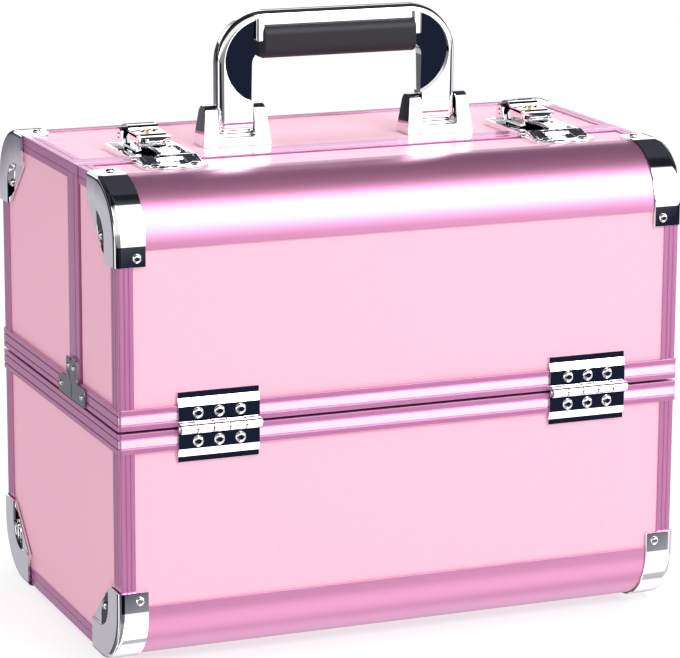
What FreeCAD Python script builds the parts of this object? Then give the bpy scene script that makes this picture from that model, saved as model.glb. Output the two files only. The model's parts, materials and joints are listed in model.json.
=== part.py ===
import FreeCAD, Part
import math
import os

V = FreeCAD.Vector
X_AXIS, Y_AXIS, Z_AXIS = V(1, 0, 0), V(0, 1, 0), V(0, 0, 1)

# Train case for make-up: a base and two lids that part along a seam near the front of the top.
# Millimetres. X runs to the right, Y to the back and Z up; the origin is centred under the feet.

# ---- case body
WIDTH = 350.0
DEPTH = 224.0
BODY_HEIGHT = 281.0
FOOT_HEIGHT = 3.0
BASE_HEIGHT = 140.5        # underside of the body to the middle of the gap below the lids
SPLIT_GAP = 1.6            # gap between the base and the lids
SEAM_Y = -42.0             # middle of the gap between the two lids
SEAM_GAP = 2.4
EDGE_RADIUS = 34.0         # the four long rounded edges

# ---- panels and extruded edging
PANEL = 4.0
LEAF = 1.0                 # metal leaf over each face of a panel
CURVE_WALL = 2.0
CURVE_LIP = 3.0            # how far a curved profile grips a flat panel
CURVE_STOP = 1.5           # web that the panel's edge meets inside the lip
TRIM_SIDE = 12.5           # leg of a corner trim on the end of the case
TRIM_FACE = 9.0            # leg of a corner trim on the front or back
END_TRIM_DROP = 10.0       # leg of the trims along the top and bottom of the ends
END_TRIM_TURN = 8.0
RAIL_HEIGHT = 12.0
RAIL_PROUD = 1.0
RAIL_WEB = 3.0             # closed edge of a rail beyond the panel
RAIL_RADIUS = 2.5
RAIL_RIB = 4.4             # raised band along the middle of a rail
RAIL_GROOVE = 1.0
RAIL_GROOVE_DEPTH = 0.8
SEAM_FRAME = 19.5          # width of the frame round the rear lid's open side
SEAM_WEB = 7.0
GROOVE_WIDTH = 0.8         # decorative lines in the edging
GROOVE_DEPTH = 0.5

# ---- corner caps
CAP = 1.2
CAP_RUN = 48.0             # along the depth of the case
CAP_DROP = 46.0            # down the front or back
CAP_SHOULDER = 18.0        # straight part of the cap's wing beside each tip
CAP_STRAP = 16.5
CAP_RIM = 19.0             # raised band of the cap round the rounded edge
CAP_RIM_RAISE = 0.9
CAP_TIP_RADIUS = 5.0
CAP_RIVETS = ((10.0, 42.0, 0.0), (11.0, 0.0, 41.0), (0.0, 26.0, 32.0))
RIVET_RADIUS = 2.6
RIVET_HEAD = 1.3

# ---- hinges
HINGE_IN = 59.0            # end of the case to the middle of a hinge
HINGE_WIDTH = 49.0
HINGE_LEAF = 20.5          # from the axis to the free edge
HINGE_PLATE = 1.2
HINGE_RAMP = (13.2, 16.4)  # from the axis, where the leaf steps back from the rail to the board
HINGE_TIP = 1.6            # how far the stepped part stands off the board
HINGE_OUT = 4.3            # axis beyond the face of the case
KNUCKLE_RADIUS = 3.0
KNUCKLES = 5
KNUCKLE_GAP = 0.3
HINGE_PIN_RADIUS = 1.5
HINGE_PIN_PROUD = 1.0
PIN_CLEARANCE = 0.08
HINGE_RIVET_PITCH = 12.8
HINGE_RIVET_Z = 8.3
HINGE_RIVET_RADIUS = 2.5

# ---- handle
BRACKET_X = 65.5
BRACKET_WIDTH = 43.0
BRACKET_TOP_WIDTH = 37.5
BRACKET_DEPTH = 19.0
BRACKET_TOP_RADIUS = 5.6
BRACKET_HEIGHT = 24.0
BRACKET_FLOOR = 5.0
PIVOT_HEIGHT = 12.0        # handle axis above the panel
HANDLE_ARM = 22.0
HANDLE_THICK = 12.0
HANDLE_RISE = 67.0         # axis to the top of the handle
HANDLE_RADIUS = 30.0
HANDLE_SIDE_CLEARANCE = 0.35
HANDLE_PIN_RADIUS = 2.5
HANDLE_EDGE = 2.0
HANDLE_THROAT = 5.0        # inner corners beside the grip
GRIP_LENGTH = 97.0
GRIP_HEIGHT = 20.0
GRIP_DEPTH = 21.0
GRIP_EDGE = 8.0
GRIP_STRIP = 8.0           # metal above the grip

# ---- draw latches over the seam
LATCH_SHARE = 9 / 22       # of the way from a handle bracket to the end of the case
LATCH_WIDTH = 40.0
LATCH_PLATE = 1.6
LATCH_REAR = 52.0          # seam to the back edge of the base plate
LATCH_PIVOT = 47.0         # seam to the lever's pivot
LATCH_PIVOT_UP = 7.6       # pivot above the top of the frame
LATCH_BARREL = 5.0
LATCH_EAR = 2.4
LATCH_CORNER = 2.0
LATCH_PIN_PROUD = 0.6
LATCH_SIDE_CLEARANCE = 0.3
LATCH_PIN_RADIUS = 1.8
LEVER_WIDTH = 18.6
LEVER_PLATE = 2.4
LEVER_LENGTH = 37.0        # pivot to the front edge
LEVER_CORNER = 4.0
LEVER_SKIRT = 6.6          # from the top of the lever down to the edge of its skirts
LEVER_SKIRT_THICK = 1.6
LEVER_FLANGE = 2.4         # flange outwards along the foot of a skirt
LEVER_FLANGE_BACK = 8.0    # pivot to the back of the flanges
LEVER_HOOD = 10.5          # pivot to the front of the raised hood
LEVER_HOOD_RAISE = 2.0
LEVER_HOOD_BACK = 1.5      # pivot to the back of the hood's flat top
LEVER_NOSE = 9.0           # drooping front of the lever, ahead of its skirts
LEVER_FALL = 0.8           # slope of the lever from hood to nose
LEVER_DROOP = 3.0          # top of the lever down to the tip of its nose
PLUG_AHEAD = 18.0          # pivot to the key plug
PLUG_RADIUS = 4.6
PLUG_PROUD = 0.6
PLUG_TAIL = 1.0            # plug below the lever's plate
KEY_SLOT = (1.2, 5.0, 1.6)
CLAW_WIDTH = 12.0
CLAW_THICK = 1.8
CLAW_PIN_RADIUS = 1.3
CLAW_EYE = 2.3
CLAW_OVER_LIP = 0.6        # beak above the lip
CLAW_BEAK_SLOPE = 0.5      # rise of the beak's underside towards its tip
CLAW_BEAK_NOSE = 1.6       # blunt height of the beak's tip
CLAW_END_PLAY = 0.1
CLAW_PIVOT = 17.0          # seam to the claw's pivot
CLAW_PIVOT_DOWN = 1.2      # below the lever's pivot
CATCH_FRONT = 29.0         # seam to the front edge of the catch plate
CATCH_PLATE = 1.8
CATCH_CORNER = 12.0
CATCH_SCREW_X = 12.0
CATCH_SCREW_BACK = 9.0     # front edge of the plate to its screws
CATCH_SCREW_RADIUS = 3.0
CATCH_SCREW_HEAD = 1.0
CATCH_LIP = 9.5            # seam to the lip
CATCH_LIP_WIDTH = 16.0
CATCH_LIP_THICK = 1.8
CATCH_LIP_UP = 3.4         # above the top of the frame

# ---- trays and the bars that carry them
TRAY_FACE_GAP = 16.0       # front or back wall to a tray
TRAY_END_GAP = 10.5        # end wall to a tray, room for the bars and links
TRAY_MIDDLE_GAP = 12.0     # between the front and rear trays
TRAY_HEIGHT = 40.0
TRAY_WALL = 2.0
TRAY_CORNER = 3.0
TRAY_START = 18.0          # lowest tray above the hinge line
BAR_STEP = 55.2            # distance between a bar's holes
BAR_TILT = 35.3            # lean of a bar from upright, inwards closed and outwards open
BAR_WIDTH = 10.0
BAR_THICK = 2.0
BAR_OFFSET = 1.0           # tray end to bar
BAR_PIVOT_IN = 20.8        # outer bars' lowest pivot, inwards from the hinge axis
BAR_PIVOT_DOWN = 5.5       # below the hinge line
BAR_SPACING = 20.0
STUD_RADIUS = 2.5
STUD_HEAD_RADIUS = 4.0
STUD_HEAD = 0.9
STUD_CLEARANCE = 0.08
STUD_PLAY = 0.1            # along the stud, each side of a bar or link
LINK_LID = (14.6, 16.0)    # link pivot on the lid, inwards from and above the hinge axis
LINK_TRAY = (63.9, 91.4)   # link pivot on the upper tray
LINK_THICK = 1.6
LINK_WIDTH = 8.0
LINK_PLANE = 4.5           # tray end to link
LINK_PLAY = 0.45           # free play that closes the loop at the tray
DIVIDER = 2.0
DIVIDER_HEIGHT = 30.0
DIVIDER_GAP = 0.3

# ---- small parts
FOOT_RADIUS = 9.0
FOOT_IN_X = 40.0
FOOT_IN_Y = 52.0
FOOT_TAPER = 1.0
MAT = 2.0
MAT_GAP = 1.0
TEE_WIDTH = 49.0
TEE_HEIGHT = 24.5
TEE_BAR = 11.0
TEE_LEG = 19.0
TEE_PLATE = 1.2
TEE_GAP = 0.3
TEE_CORNER = 3.0
TEE_RIVET_IN = 5.0         # rivets from the edges of the plate
TEE_RIVET_RADIUS = 1.8
TEE_RIVET_HEAD = 0.9

# ---- worked out from the above
HALF_W, HALF_D = WIDTH / 2, DEPTH / 2
WALL = PANEL + 2 * LEAF
BOTTOM = FOOT_HEIGHT
TOP = BOTTOM + BODY_HEIGHT
SPLIT = BOTTOM + BASE_HEIGHT
BASE_RIM = SPLIT - SPLIT_GAP / 2
LID_RIM = SPLIT + SPLIT_GAP / 2
FRONT_EDGE = SEAM_Y - SEAM_GAP / 2     # seam edge of the front lid
REAR_EDGE = SEAM_Y + SEAM_GAP / 2      # seam edge of the rear lid
PANEL_TOP = TOP - LEAF
HINGE_X = HALF_W - HINGE_IN
HINGE_Y = HALF_D + HINGE_OUT
CURVE_REACH = EDGE_RADIUS + CURVE_LIP
BRACKET_OUT = BRACKET_X + BRACKET_WIDTH / 2
LATCH_X = BRACKET_OUT + (HALF_W - BRACKET_OUT) * LATCH_SHARE
LATCH_REAR_Y = SEAM_Y + LATCH_REAR
LATCH_PIVOT_Y = SEAM_Y + LATCH_PIVOT
CLAW_PIVOT_Y = SEAM_Y + CLAW_PIVOT
CATCH_FRONT_Y = SEAM_Y - CATCH_FRONT
CATCH_LIP_Y = SEAM_Y - CATCH_LIP
TRAY_OUTER = HALF_D - WALL - TRAY_FACE_GAP     # centre of the case to a tray's outer wall
TRAY_INNER = TRAY_MIDDLE_GAP / 2
TRAY_HALF = HALF_W - WALL - TRAY_END_GAP
FAR = 2 * WIDTH + DEPTH + BODY_HEIGHT
OVER = 1.0                 # how far a cutting tool reaches past what it cuts


# ================================================================ helpers
def box(x0, x1, y0, y1, z0, z1):
    return Part.makeBox(x1 - x0, y1 - y0, z1 - z0, V(x0, y0, z0))


def rod_x(x0, x1, y, z, radius):
    return Part.makeCylinder(radius, x1 - x0, V(x0, y, z), X_AXIS)


def rod_z(x, y, z0, z1, radius):
    return Part.makeCylinder(radius, z1 - z0, V(x, y, z0), Z_AXIS)


def extrude_x(points, x0, x1):
    """Solid with a (y, z) outline between two planes of constant x."""
    wire = Part.makePolygon([V(x0, y, z) for y, z in points + points[:1]])
    return Part.Face(wire).extrude(V(x1 - x0, 0, 0))


def extrude_y(points, y0, y1):
    """Solid with an (x, z) outline between two planes of constant y."""
    wire = Part.makePolygon([V(x, y0, z) for x, z in points + points[:1]])
    return Part.Face(wire).extrude(V(0, y1 - y0, 0))


def extrude_z(points, z0, z1):
    """Solid with an (x, y) outline between two planes of constant z."""
    wire = Part.makePolygon([V(x, y, z0) for x, y in points + points[:1]])
    return Part.Face(wire).extrude(V(0, 0, z1 - z0))


def edges_along(shape, axis, where=lambda point: True):
    """Straight edges that run along an axis and whose middle passes a test."""
    found = []
    for edge in shape.Edges:
        if edge.Curve.TypeId != "Part::GeomLine":
            continue
        if abs(edge.tangentAt(edge.FirstParameter).dot(axis)) > 0.999 and where(edge.CenterOfMass):
            found.append(edge)
    return found


def joined(shapes):
    shapes = list(shapes)
    return shapes[0].multiFuse(shapes[1:]).removeSplitter() if len(shapes) > 1 else shapes[0]


def less(shape, tools):
    """Shape with the tools cut away; tools that it doesn't reach are passed over."""
    near = [tool for tool in tools if shape.BoundBox.intersect(tool.BoundBox)]
    return shape.cut(near).removeSplitter() if near else shape


def flip_x(shape):
    return shape.mirror(V(0, 0, 0), X_AXIS)


def flip_y(shape):
    return shape.mirror(V(0, 0, 0), Y_AXIS)


def both_ends(shape):
    """The given piece of the right-hand end and its mirror image on the left."""
    return [shape, flip_x(shape)]


def case_block(inset, x0, x1):
    """Block with the outline of the closed case, moved inwards by inset."""
    block = box(x0, x1, -HALF_D + inset, HALF_D - inset, BOTTOM + inset, TOP - inset)
    return block.makeFillet(EDGE_RADIUS - inset, edges_along(block, X_AXIS))


def solids_of(shapes):
    return [solid for shape in shapes for solid in shape.Solids]


nodes = {}


def keep(name, *shapes):
    """Names a node and keeps its solids for export."""
    solids = solids_of(shapes)
    nodes[name] = solids[0] if len(solids) == 1 else Part.makeCompound(solids)
    return solids


ZONES = {
    "base": box(-FAR, FAR, -FAR, FAR, -FAR, BASE_RIM),
    "front_lid": box(-FAR, FAR, -FAR, FRONT_EDGE, LID_RIM, FAR),
    "rear_lid": box(-FAR, FAR, REAR_EDGE, FAR, LID_RIM, FAR),
}
# what each lid and the base has: its faces front or back, and whether its flat face is on top
LAYOUT = {
    "base": {"sides": (-1, 1), "flat": -1},
    "front_lid": {"sides": (-1,), "flat": 1},
    "rear_lid": {"sides": (1,), "flat": 1},
}
SIDE_NAMES = {-1: "front", 1: "rear"}


# ================================================================ shell of each body
def upright(flat, low, high):
    """Heights measured from the flat face of a body, as a rising pair of z values."""
    if flat < 0:
        return BOTTOM + low, BOTTOM + high
    return TOP - high, TOP - low


def seam_stop(body):
    """The y span in which a body's flat panel lies."""
    inner = HALF_D - EDGE_RADIUS
    if body == "front_lid":
        return -inner, FRONT_EDGE
    if body == "rear_lid":
        return REAR_EDGE + SEAM_WEB, inner
    return -inner, inner


def rim_stop(body):
    """The height where the upright panels of a body end, inside its rail."""
    return BASE_RIM - RAIL_WEB if body == "base" else LID_RIM + RAIL_WEB


def wall_panel(body, side):
    """Front or back board, between the curved profile and the rail."""
    low, high = sorted((rim_stop(body), upright(LAYOUT[body]["flat"], EDGE_RADIUS, EDGE_RADIUS)[0]))
    y0, y1 = sorted((side * (HALF_D - LEAF), side * (HALF_D - LEAF - PANEL)))
    return box(-HALF_W + WALL, HALF_W - WALL, y0, y1, low, high)


def flat_panel(body):
    """Bottom or top board."""
    y0, y1 = seam_stop(body)
    z0, z1 = upright(LAYOUT[body]["flat"], LEAF, LEAF + PANEL)
    return box(-HALF_W + WALL, HALF_W - WALL, y0, y1, z0, z1)


def end_panel(body):
    """Right-hand end board, with the rounded corners of the case."""
    board = case_block(WALL, HALF_W - LEAF - PANEL, HALF_W - LEAF)
    low, high = (BOTTOM, rim_stop(body)) if body == "base" else (rim_stop(body), TOP)
    y0 = REAR_EDGE + SEAM_WEB if body == "rear_lid" else -HALF_D
    y1 = FRONT_EDGE if body == "front_lid" else HALF_D
    return board.common(box(0, FAR, y0, y1, low, high))


def curve_profile(body, side):
    """Extruded quarter round along a long edge, with a lip that grips each flat panel."""
    x1 = HALF_W - LEAF
    flat = LAYOUT[body]["flat"]
    shell = case_block(0, -x1, x1).cut(case_block(CURVE_WALL, -x1 - OVER, x1 + OVER))
    z0, z1 = upright(flat, 0, EDGE_RADIUS)
    y0, y1 = sorted((side * HALF_D, side * (HALF_D - EDGE_RADIUS)))
    arc = shell.common(box(-x1, x1, y0, y1, z0, z1))
    lip_x = HALF_W - WALL
    y0, y1 = sorted((side * (HALF_D - EDGE_RADIUS + CURVE_STOP), side * (HALF_D - CURVE_REACH)))
    z0, z1 = upright(flat, 0, WALL)
    flat_lip = box(-lip_x, lip_x, y0, y1, z0, z1)
    y0, y1 = sorted((side * HALF_D, side * (HALF_D - WALL)))
    z0, z1 = upright(flat, EDGE_RADIUS - CURVE_STOP, CURVE_REACH)
    wall_lip = box(-lip_x, lip_x, y0, y1, z0, z1)
    lips = joined([flat_lip, wall_lip]).common(case_block(0, -lip_x, lip_x))
    return less(joined([arc, lips]), [flat_panel(body), wall_panel(body, side)])


def corner_trim(body, side, panels):
    """Right-hand upright angle that joins an end board to the front or back, with ridges."""
    flat = LAYOUT[body]["flat"]
    near = upright(flat, CURVE_REACH, CURVE_REACH)[0]
    rail = BASE_RIM - RAIL_HEIGHT if body == "base" else LID_RIM + RAIL_HEIGHT
    z0, z1 = sorted((near, rail))

    def strip(x0, x1, depth_from, depth_to):
        y0, y1 = sorted((side * (HALF_D - depth_from), side * (HALF_D - depth_to)))
        return box(x0, x1, y0, y1, z0, z1)

    side_leg = strip(HALF_W - WALL, HALF_W, 0, TRIM_SIDE)
    face_leg = strip(HALF_W - TRIM_FACE, HALF_W - WALL, 0, WALL)
    grooves = []
    for share in (1 / 3, 2 / 3):
        x = HALF_W - TRIM_FACE * share
        grooves.append(strip(x - GROOVE_WIDTH / 2, x + GROOVE_WIDTH / 2, 0, GROOVE_DEPTH))
    from_corner = TRIM_SIDE * 2 / 3
    grooves.append(strip(HALF_W - GROOVE_DEPTH, HALF_W, from_corner, from_corner + GROOVE_WIDTH))
    return less(joined([side_leg, face_leg]), panels + grooves)


def end_trim(body, panels):
    """Right-hand angle along the bottom or top edge of an end, between the curved profiles."""
    flat = LAYOUT[body]["flat"]
    y0, y1 = -HALF_D + CURVE_REACH, HALF_D - CURVE_REACH
    if body == "front_lid":
        y1 = FRONT_EDGE
    if body == "rear_lid":
        y0 = REAR_EDGE + SEAM_FRAME
    side_leg = box(HALF_W - WALL, HALF_W, y0, y1, *upright(flat, 0, END_TRIM_DROP))
    turn_leg = box(HALF_W - END_TRIM_TURN, HALF_W - WALL, y0, y1, *upright(flat, 0, WALL))
    return less(joined([side_leg, turn_leg]), panels)


def rail_ring(low, high, rib_z):
    """Ring of rail all round the case, with a raised band and its grooves on the outside."""
    out_x, out_y = HALF_W + RAIL_PROUD, HALF_D + RAIL_PROUD

    def ring(z0, z1, inset_out, inset_in):
        x, y = out_x - inset_out, out_y - inset_out
        outer = box(-x, x, -y, y, z0, z1)
        outer = outer.makeFillet(RAIL_RADIUS - inset_out, edges_along(outer, Z_AXIS))
        x, y = HALF_W - inset_in, HALF_D - inset_in
        return outer.cut(box(-x, x, -y, y, z0, z1))

    whole = ring(low, high, 0, WALL)
    for z in (rib_z - RAIL_RIB / 2 - RAIL_GROOVE, rib_z + RAIL_RIB / 2):
        bite = box(-FAR, FAR, -FAR, FAR, z, z + RAIL_GROOVE)
        core = ring(z, z + RAIL_GROOVE, RAIL_GROOVE_DEPTH, WALL)
        whole = joined([whole.cut(bite), core])
    return whole


def rails(body, panels):
    """The rail of one body, mitred at its corners into straight pieces."""
    if body == "base":
        low, high = BASE_RIM - RAIL_HEIGHT, BASE_RIM
    else:
        low, high = LID_RIM, LID_RIM + RAIL_HEIGHT
    ring = rail_ring(low, high, (low + high) / 2)
    inner = HALF_D - WALL
    reach = inner + FAR
    right = extrude_z([(HALF_W - WALL, -inner), (HALF_W - WALL + FAR, -reach),
                       (HALF_W - WALL + FAR, reach), (HALF_W - WALL, inner)], low, high)
    keep_out = [right, flip_x(right)]
    pieces = [ring.common(part) for part in keep_out]
    for side in LAYOUT[body]["sides"]:
        half = box(-FAR, FAR, min(0, side * FAR), max(0, side * FAR), low, high)
        pieces.append(ring.common(half).cut(keep_out))
    return [less(piece.common(ZONES[body]), panels) for piece in pieces]


def seam_frame(panels):
    """Frame round the rear lid's open side: a head across the top and a post at each end."""
    y1 = REAR_EDGE + SEAM_FRAME
    line_y = REAR_EDGE + SEAM_FRAME / 3
    head = box(-HALF_W, HALF_W, REAR_EDGE, y1, TOP - WALL, TOP)
    head = head.cut(box(-HALF_W, HALF_W, line_y, line_y + GROOVE_WIDTH, TOP - GROOVE_DEPTH, TOP))
    post = box(HALF_W - WALL, HALF_W, REAR_EDGE, y1, LID_RIM + RAIL_HEIGHT, TOP - WALL)
    post = post.cut(box(HALF_W - GROOVE_DEPTH, HALF_W, line_y, line_y + GROOVE_WIDTH, 0, TOP))
    return [less(piece, panels) for piece in [head] + both_ends(post)]


def build_shell(body):
    """Boards, curved profiles, trims and rails of one body. Returns every solid made."""
    layout = LAYOUT[body]
    made = []
    panels = []
    for side in layout["sides"]:
        panels += keep(f"{body}_{SIDE_NAMES[side]}_panel", wall_panel(body, side))
    flat_name = "bottom_panel" if body == "base" else "top_panel"
    panels += keep(f"{body}_{flat_name}", flat_panel(body))
    right, left = both_ends(end_panel(body))
    panels += keep(f"{body}_right_panel", right)
    panels += keep(f"{body}_left_panel", left)
    for side in layout["sides"]:
        name = f"{body}_{SIDE_NAMES[side]}_curve" if body == "base" else f"{body}_curve"
        made += keep(name, curve_profile(body, side))
    trims = both_ends(end_trim(body, panels))
    for side in layout["sides"]:
        trims += both_ends(corner_trim(body, side, panels))
    made += keep(f"{body}_edge_trims", *trims)
    made += keep(f"{body}_rails", *rails(body, panels))
    if body == "rear_lid":
        made += keep("rear_lid_seam_frame", *seam_frame(panels))
    return panels + made


# ================================================================ corner caps and rivets
def cap_outline(x0, x1):
    """Wing of the front top right cap: a triangle with blunt tips, in the plane of the end."""
    y_out, z_out = -HALF_D - CAP, TOP + CAP
    y_in, z_in = -HALF_D + CAP_RUN, TOP - CAP_DROP
    points = [(y_out, z_out), (y_in, z_out), (y_in, TOP - CAP_SHOULDER),
              (-HALF_D + CAP_SHOULDER, z_in), (y_out, z_in)]
    wing = extrude_x(points, x0, x1)
    tips = edges_along(wing, X_AXIS, lambda p: p.y > y_out + 1 and p.z < z_out - 1)
    return wing.makeFillet(CAP_TIP_RADIUS, tips)


def corner_cap(neighbours):
    """Front top right cap: a strap over the rounded edge and a wing with a raised rim."""
    outside = HALF_W + CAP
    skin = case_block(-CAP, 0, outside).cut(case_block(LEAF, -OVER, HALF_W - LEAF))
    wing = cap_outline(HALF_W - LEAF, outside)
    strap = box(HALF_W - CAP_STRAP, HALF_W - LEAF, -FAR, -HALF_D + CAP_RUN, TOP - CAP_DROP, FAR)
    cap = less(skin.common(joined([wing, strap])), neighbours)
    rim = case_block(-CAP, outside, outside + CAP_RIM_RAISE)
    rim = rim.cut(case_block(CAP_RIM, outside - OVER, outside + CAP_RIM_RAISE + OVER))
    rim = rim.common(cap_outline(outside, outside + CAP_RIM_RAISE))
    return joined([cap] + rim.Solids)


def rivet(point, direction, radius=RIVET_RADIUS, height=RIVET_HEAD):
    """Domed head that sits on a face: the cap of a ball."""
    ball = (radius ** 2 + height ** 2) / (2 * height)
    latitude = math.degrees(math.asin((ball - height) / ball))
    return Part.makeSphere(ball, point + direction * (height - ball), direction, latitude, 90, 360)


def cap_rivets():
    heads = []
    for dx, dy, dz in CAP_RIVETS:
        x, y, z = HALF_W - dx, -HALF_D + dy, TOP - dz
        if dx == 0:
            heads.append(rivet(V(x + CAP, y, z), X_AXIS))
        elif dy == 0:
            heads.append(rivet(V(x, y - CAP, z), Y_AXIS * -1))
        else:
            heads.append(rivet(V(x, y, z + CAP), Z_AXIS))
    return heads


def place_corner(shape, side, flat):
    """Moves a front top piece to the front or back and the top or bottom of the case."""
    if side > 0:
        shape = flip_y(shape)
    if flat < 0:
        shape = shape.mirror(V(0, 0, (TOP + BOTTOM) / 2), Z_AXIS)
    return shape


def build_caps(body, shell):
    """Caps and their rivets for one body. Returns the rivets, which the body shares out later."""
    layout = LAYOUT[body]
    caps, heads = [], []
    for side in layout["sides"]:
        neighbours = [place_corner(solid, side, layout["flat"]) for solid in shell]
        caps += both_ends(place_corner(corner_cap(neighbours), side, layout["flat"]))
        for head in cap_rivets():
            heads += both_ends(place_corner(head, side, layout["flat"]))
    keep(f"{body}_corner_caps", *caps)
    return heads


# ================================================================ hinges
def hinge_leaf(x, upper, shell):
    """Front hinge leaf at x: a plate with turned edges and its share of the knuckles."""
    sign = 1 if upper else -1
    y_axis = -HINGE_Y
    plate_out = -HALF_D - RAIL_PROUD - HINGE_PLATE
    x0, x1 = x - HINGE_WIDTH / 2, x + HINGE_WIDTH / 2
    z_near = SPLIT + sign * (KNUCKLE_RADIUS + KNUCKLE_GAP)
    z_far = SPLIT + sign * HINGE_LEAF
    ramp, ramp_end = [SPLIT + sign * height for height in HINGE_RAMP]
    board = -HALF_D + LEAF
    tip_out = board - HINGE_TIP
    outline = [(plate_out, z_near), (plate_out, ramp), (tip_out, ramp_end), (tip_out, z_far), (board, z_far),
               (board, ramp), (plate_out + HINGE_PLATE, ramp), (plate_out + HINGE_PLATE, z_near)]
    leaf = less(extrude_x(outline, x0, x1), shell)
    pitch = HINGE_WIDTH / KNUCKLES
    knuckles = []
    for index in range(KNUCKLES):
        if (index % 2 == 0) == upper:
            continue
        k0 = x0 + index * pitch + KNUCKLE_GAP / 2
        k1 = k0 + pitch - KNUCKLE_GAP
        barrel = rod_x(k0, k1, y_axis, SPLIT, KNUCKLE_RADIUS)
        n0, n1 = sorted((SPLIT, z_near))
        neck = box(k0, k1, plate_out, plate_out + HINGE_PLATE, n0, n1)
        knuckles.append(joined([barrel, neck]))
    bore = rod_x(x0 - OVER, x1 + OVER, y_axis, SPLIT, HINGE_PIN_RADIUS + PIN_CLEARANCE)
    return joined([leaf] + knuckles).cut(bore)


def hinge_rivets(x, upper):
    sign = 1 if upper else -1
    y = -HALF_D - RAIL_PROUD - HINGE_PLATE
    z = SPLIT + sign * HINGE_RIVET_Z
    places = [x + index * HINGE_RIVET_PITCH for index in (-1, 0, 1)]
    return [rivet(V(px, y, z), Y_AXIS * -1, HINGE_RIVET_RADIUS) for px in places]


def build_hinges(shells):
    """Two hinges at the front and two at the back. Returns the rivets of each body."""
    lower, pins = [], []
    heads = {"base": [], "front_lid": [], "rear_lid": []}
    pin_half = HINGE_WIDTH / 2 + HINGE_PIN_PROUD
    for lid, side in (("front_lid", -1), ("rear_lid", 1)):
        turn = flip_y if side > 0 else (lambda shape: shape)
        upper = []
        for x in (-HINGE_X, HINGE_X):
            lower.append(turn(hinge_leaf(x, False, [turn(s) for s in shells["base"]])))
            upper.append(turn(hinge_leaf(x, True, [turn(s) for s in shells[lid]])))
            pins.append(turn(rod_x(x - pin_half, x + pin_half, -HINGE_Y, SPLIT, HINGE_PIN_RADIUS)))
            heads["base"] += [turn(head) for head in hinge_rivets(x, False)]
            heads[lid] += [turn(head) for head in hinge_rivets(x, True)]
        keep(f"{lid}_hinge_leaves", *upper)
    keep("base_hinge_leaves", *lower)
    keep("hinge_pins", *pins)
    return heads


# ================================================================ handle
PIVOT_Z = PANEL_TOP + PIVOT_HEIGHT
SLOT_WIDTH = HANDLE_ARM + 2 * HANDLE_SIDE_CLEARANCE


def handle_bracket(x):
    """Clevis with a tapered body, a slot for the handle's arm and a pin through both ears."""
    z0, z1 = PANEL_TOP, PANEL_TOP + BRACKET_HEIGHT
    half, top_half = BRACKET_WIDTH / 2, BRACKET_TOP_WIDTH / 2
    front = extrude_y([(x - half, z0), (x + half, z0), (x + top_half, z1), (x - top_half, z1)],
                      -BRACKET_DEPTH, BRACKET_DEPTH)
    shoulder = z1 - BRACKET_TOP_RADIUS
    half_depth = BRACKET_DEPTH / 2
    side = extrude_x([(-half_depth, z0), (half_depth, z0), (half_depth, z0 + LATCH_PLATE),
                      (BRACKET_TOP_RADIUS, shoulder), (-BRACKET_TOP_RADIUS, shoulder),
                      (-half_depth, z0 + LATCH_PLATE)], x - half, x + half)
    side = joined([side, rod_x(x - half, x + half, 0, shoulder, BRACKET_TOP_RADIUS)])
    body = front.common(side)
    slot = box(x - SLOT_WIDTH / 2, x + SLOT_WIDTH / 2, -BRACKET_DEPTH, BRACKET_DEPTH,
               z0 + BRACKET_FLOOR, z1 + OVER)
    hole = rod_x(x - half, x + half, 0, PIVOT_Z, HANDLE_PIN_RADIUS)
    pin = rod_x(x - top_half, x + top_half, 0, PIVOT_Z, HANDLE_PIN_RADIUS)
    return body.cut(slot).cut(hole), pin


def handle_frame():
    """Flat cast arch: two arms with round feet on the pins and wide webs at the corners."""
    out_x = BRACKET_X + HANDLE_ARM / 2
    in_x = BRACKET_X - HANDLE_ARM / 2
    top = PIVOT_Z + HANDLE_RISE
    grip_top = top - GRIP_STRIP
    grip_bottom = grip_top - GRIP_HEIGHT
    y0, y1 = -HANDLE_THICK / 2, HANDLE_THICK / 2
    arch = box(-out_x, out_x, y0, y1, PIVOT_Z, top)
    arch = arch.makeFillet(HANDLE_RADIUS, edges_along(arch, Y_AXIS, lambda p: p.z > PIVOT_Z + 1))
    window = box(-in_x, in_x, y0, y1, PIVOT_Z, grip_bottom)
    window = window.makeFillet(HANDLE_THROAT, edges_along(window, Y_AXIS, lambda p: p.z > grip_bottom - 1))
    arch = arch.cut(window)
    notch = box(-GRIP_LENGTH / 2, GRIP_LENGTH / 2, y0, y1, grip_bottom, grip_top)
    arch = arch.cut(notch)
    rims = []
    for edge in arch.Edges:
        middle = edge.CenterOfMass
        outside = abs(middle.x) > in_x + 1 or middle.z > grip_top + 1
        if edge.BoundBox.YLength < 0.01 and middle.z > PIVOT_Z + 1 and outside:
            rims.append(edge)
    arch = arch.makeFillet(HANDLE_EDGE, rims)
    feet = [rod_x(x - HANDLE_ARM / 2, x + HANDLE_ARM / 2, 0, PIVOT_Z, HANDLE_THICK / 2)
            for x in (-BRACKET_X, BRACKET_X)]
    hole = rod_x(-FAR, FAR, 0, PIVOT_Z, HANDLE_PIN_RADIUS + PIN_CLEARANCE)
    return joined([arch] + feet).cut(hole)


def handle_grip():
    """Moulded grip under the handle's top strip, rounded along its length."""
    top = PIVOT_Z + HANDLE_RISE - GRIP_STRIP
    half = GRIP_LENGTH / 2
    grip = box(-half, half, -GRIP_DEPTH / 2, GRIP_DEPTH / 2, top - GRIP_HEIGHT, top)
    return grip.makeFillet(GRIP_EDGE, edges_along(grip, X_AXIS))


def build_handle():
    brackets, pins = zip(*[handle_bracket(x) for x in (-BRACKET_X, BRACKET_X)])
    keep("handle_brackets", *brackets, *pins)
    keep("handle_frame", handle_frame())
    keep("handle_grip", handle_grip())


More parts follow.
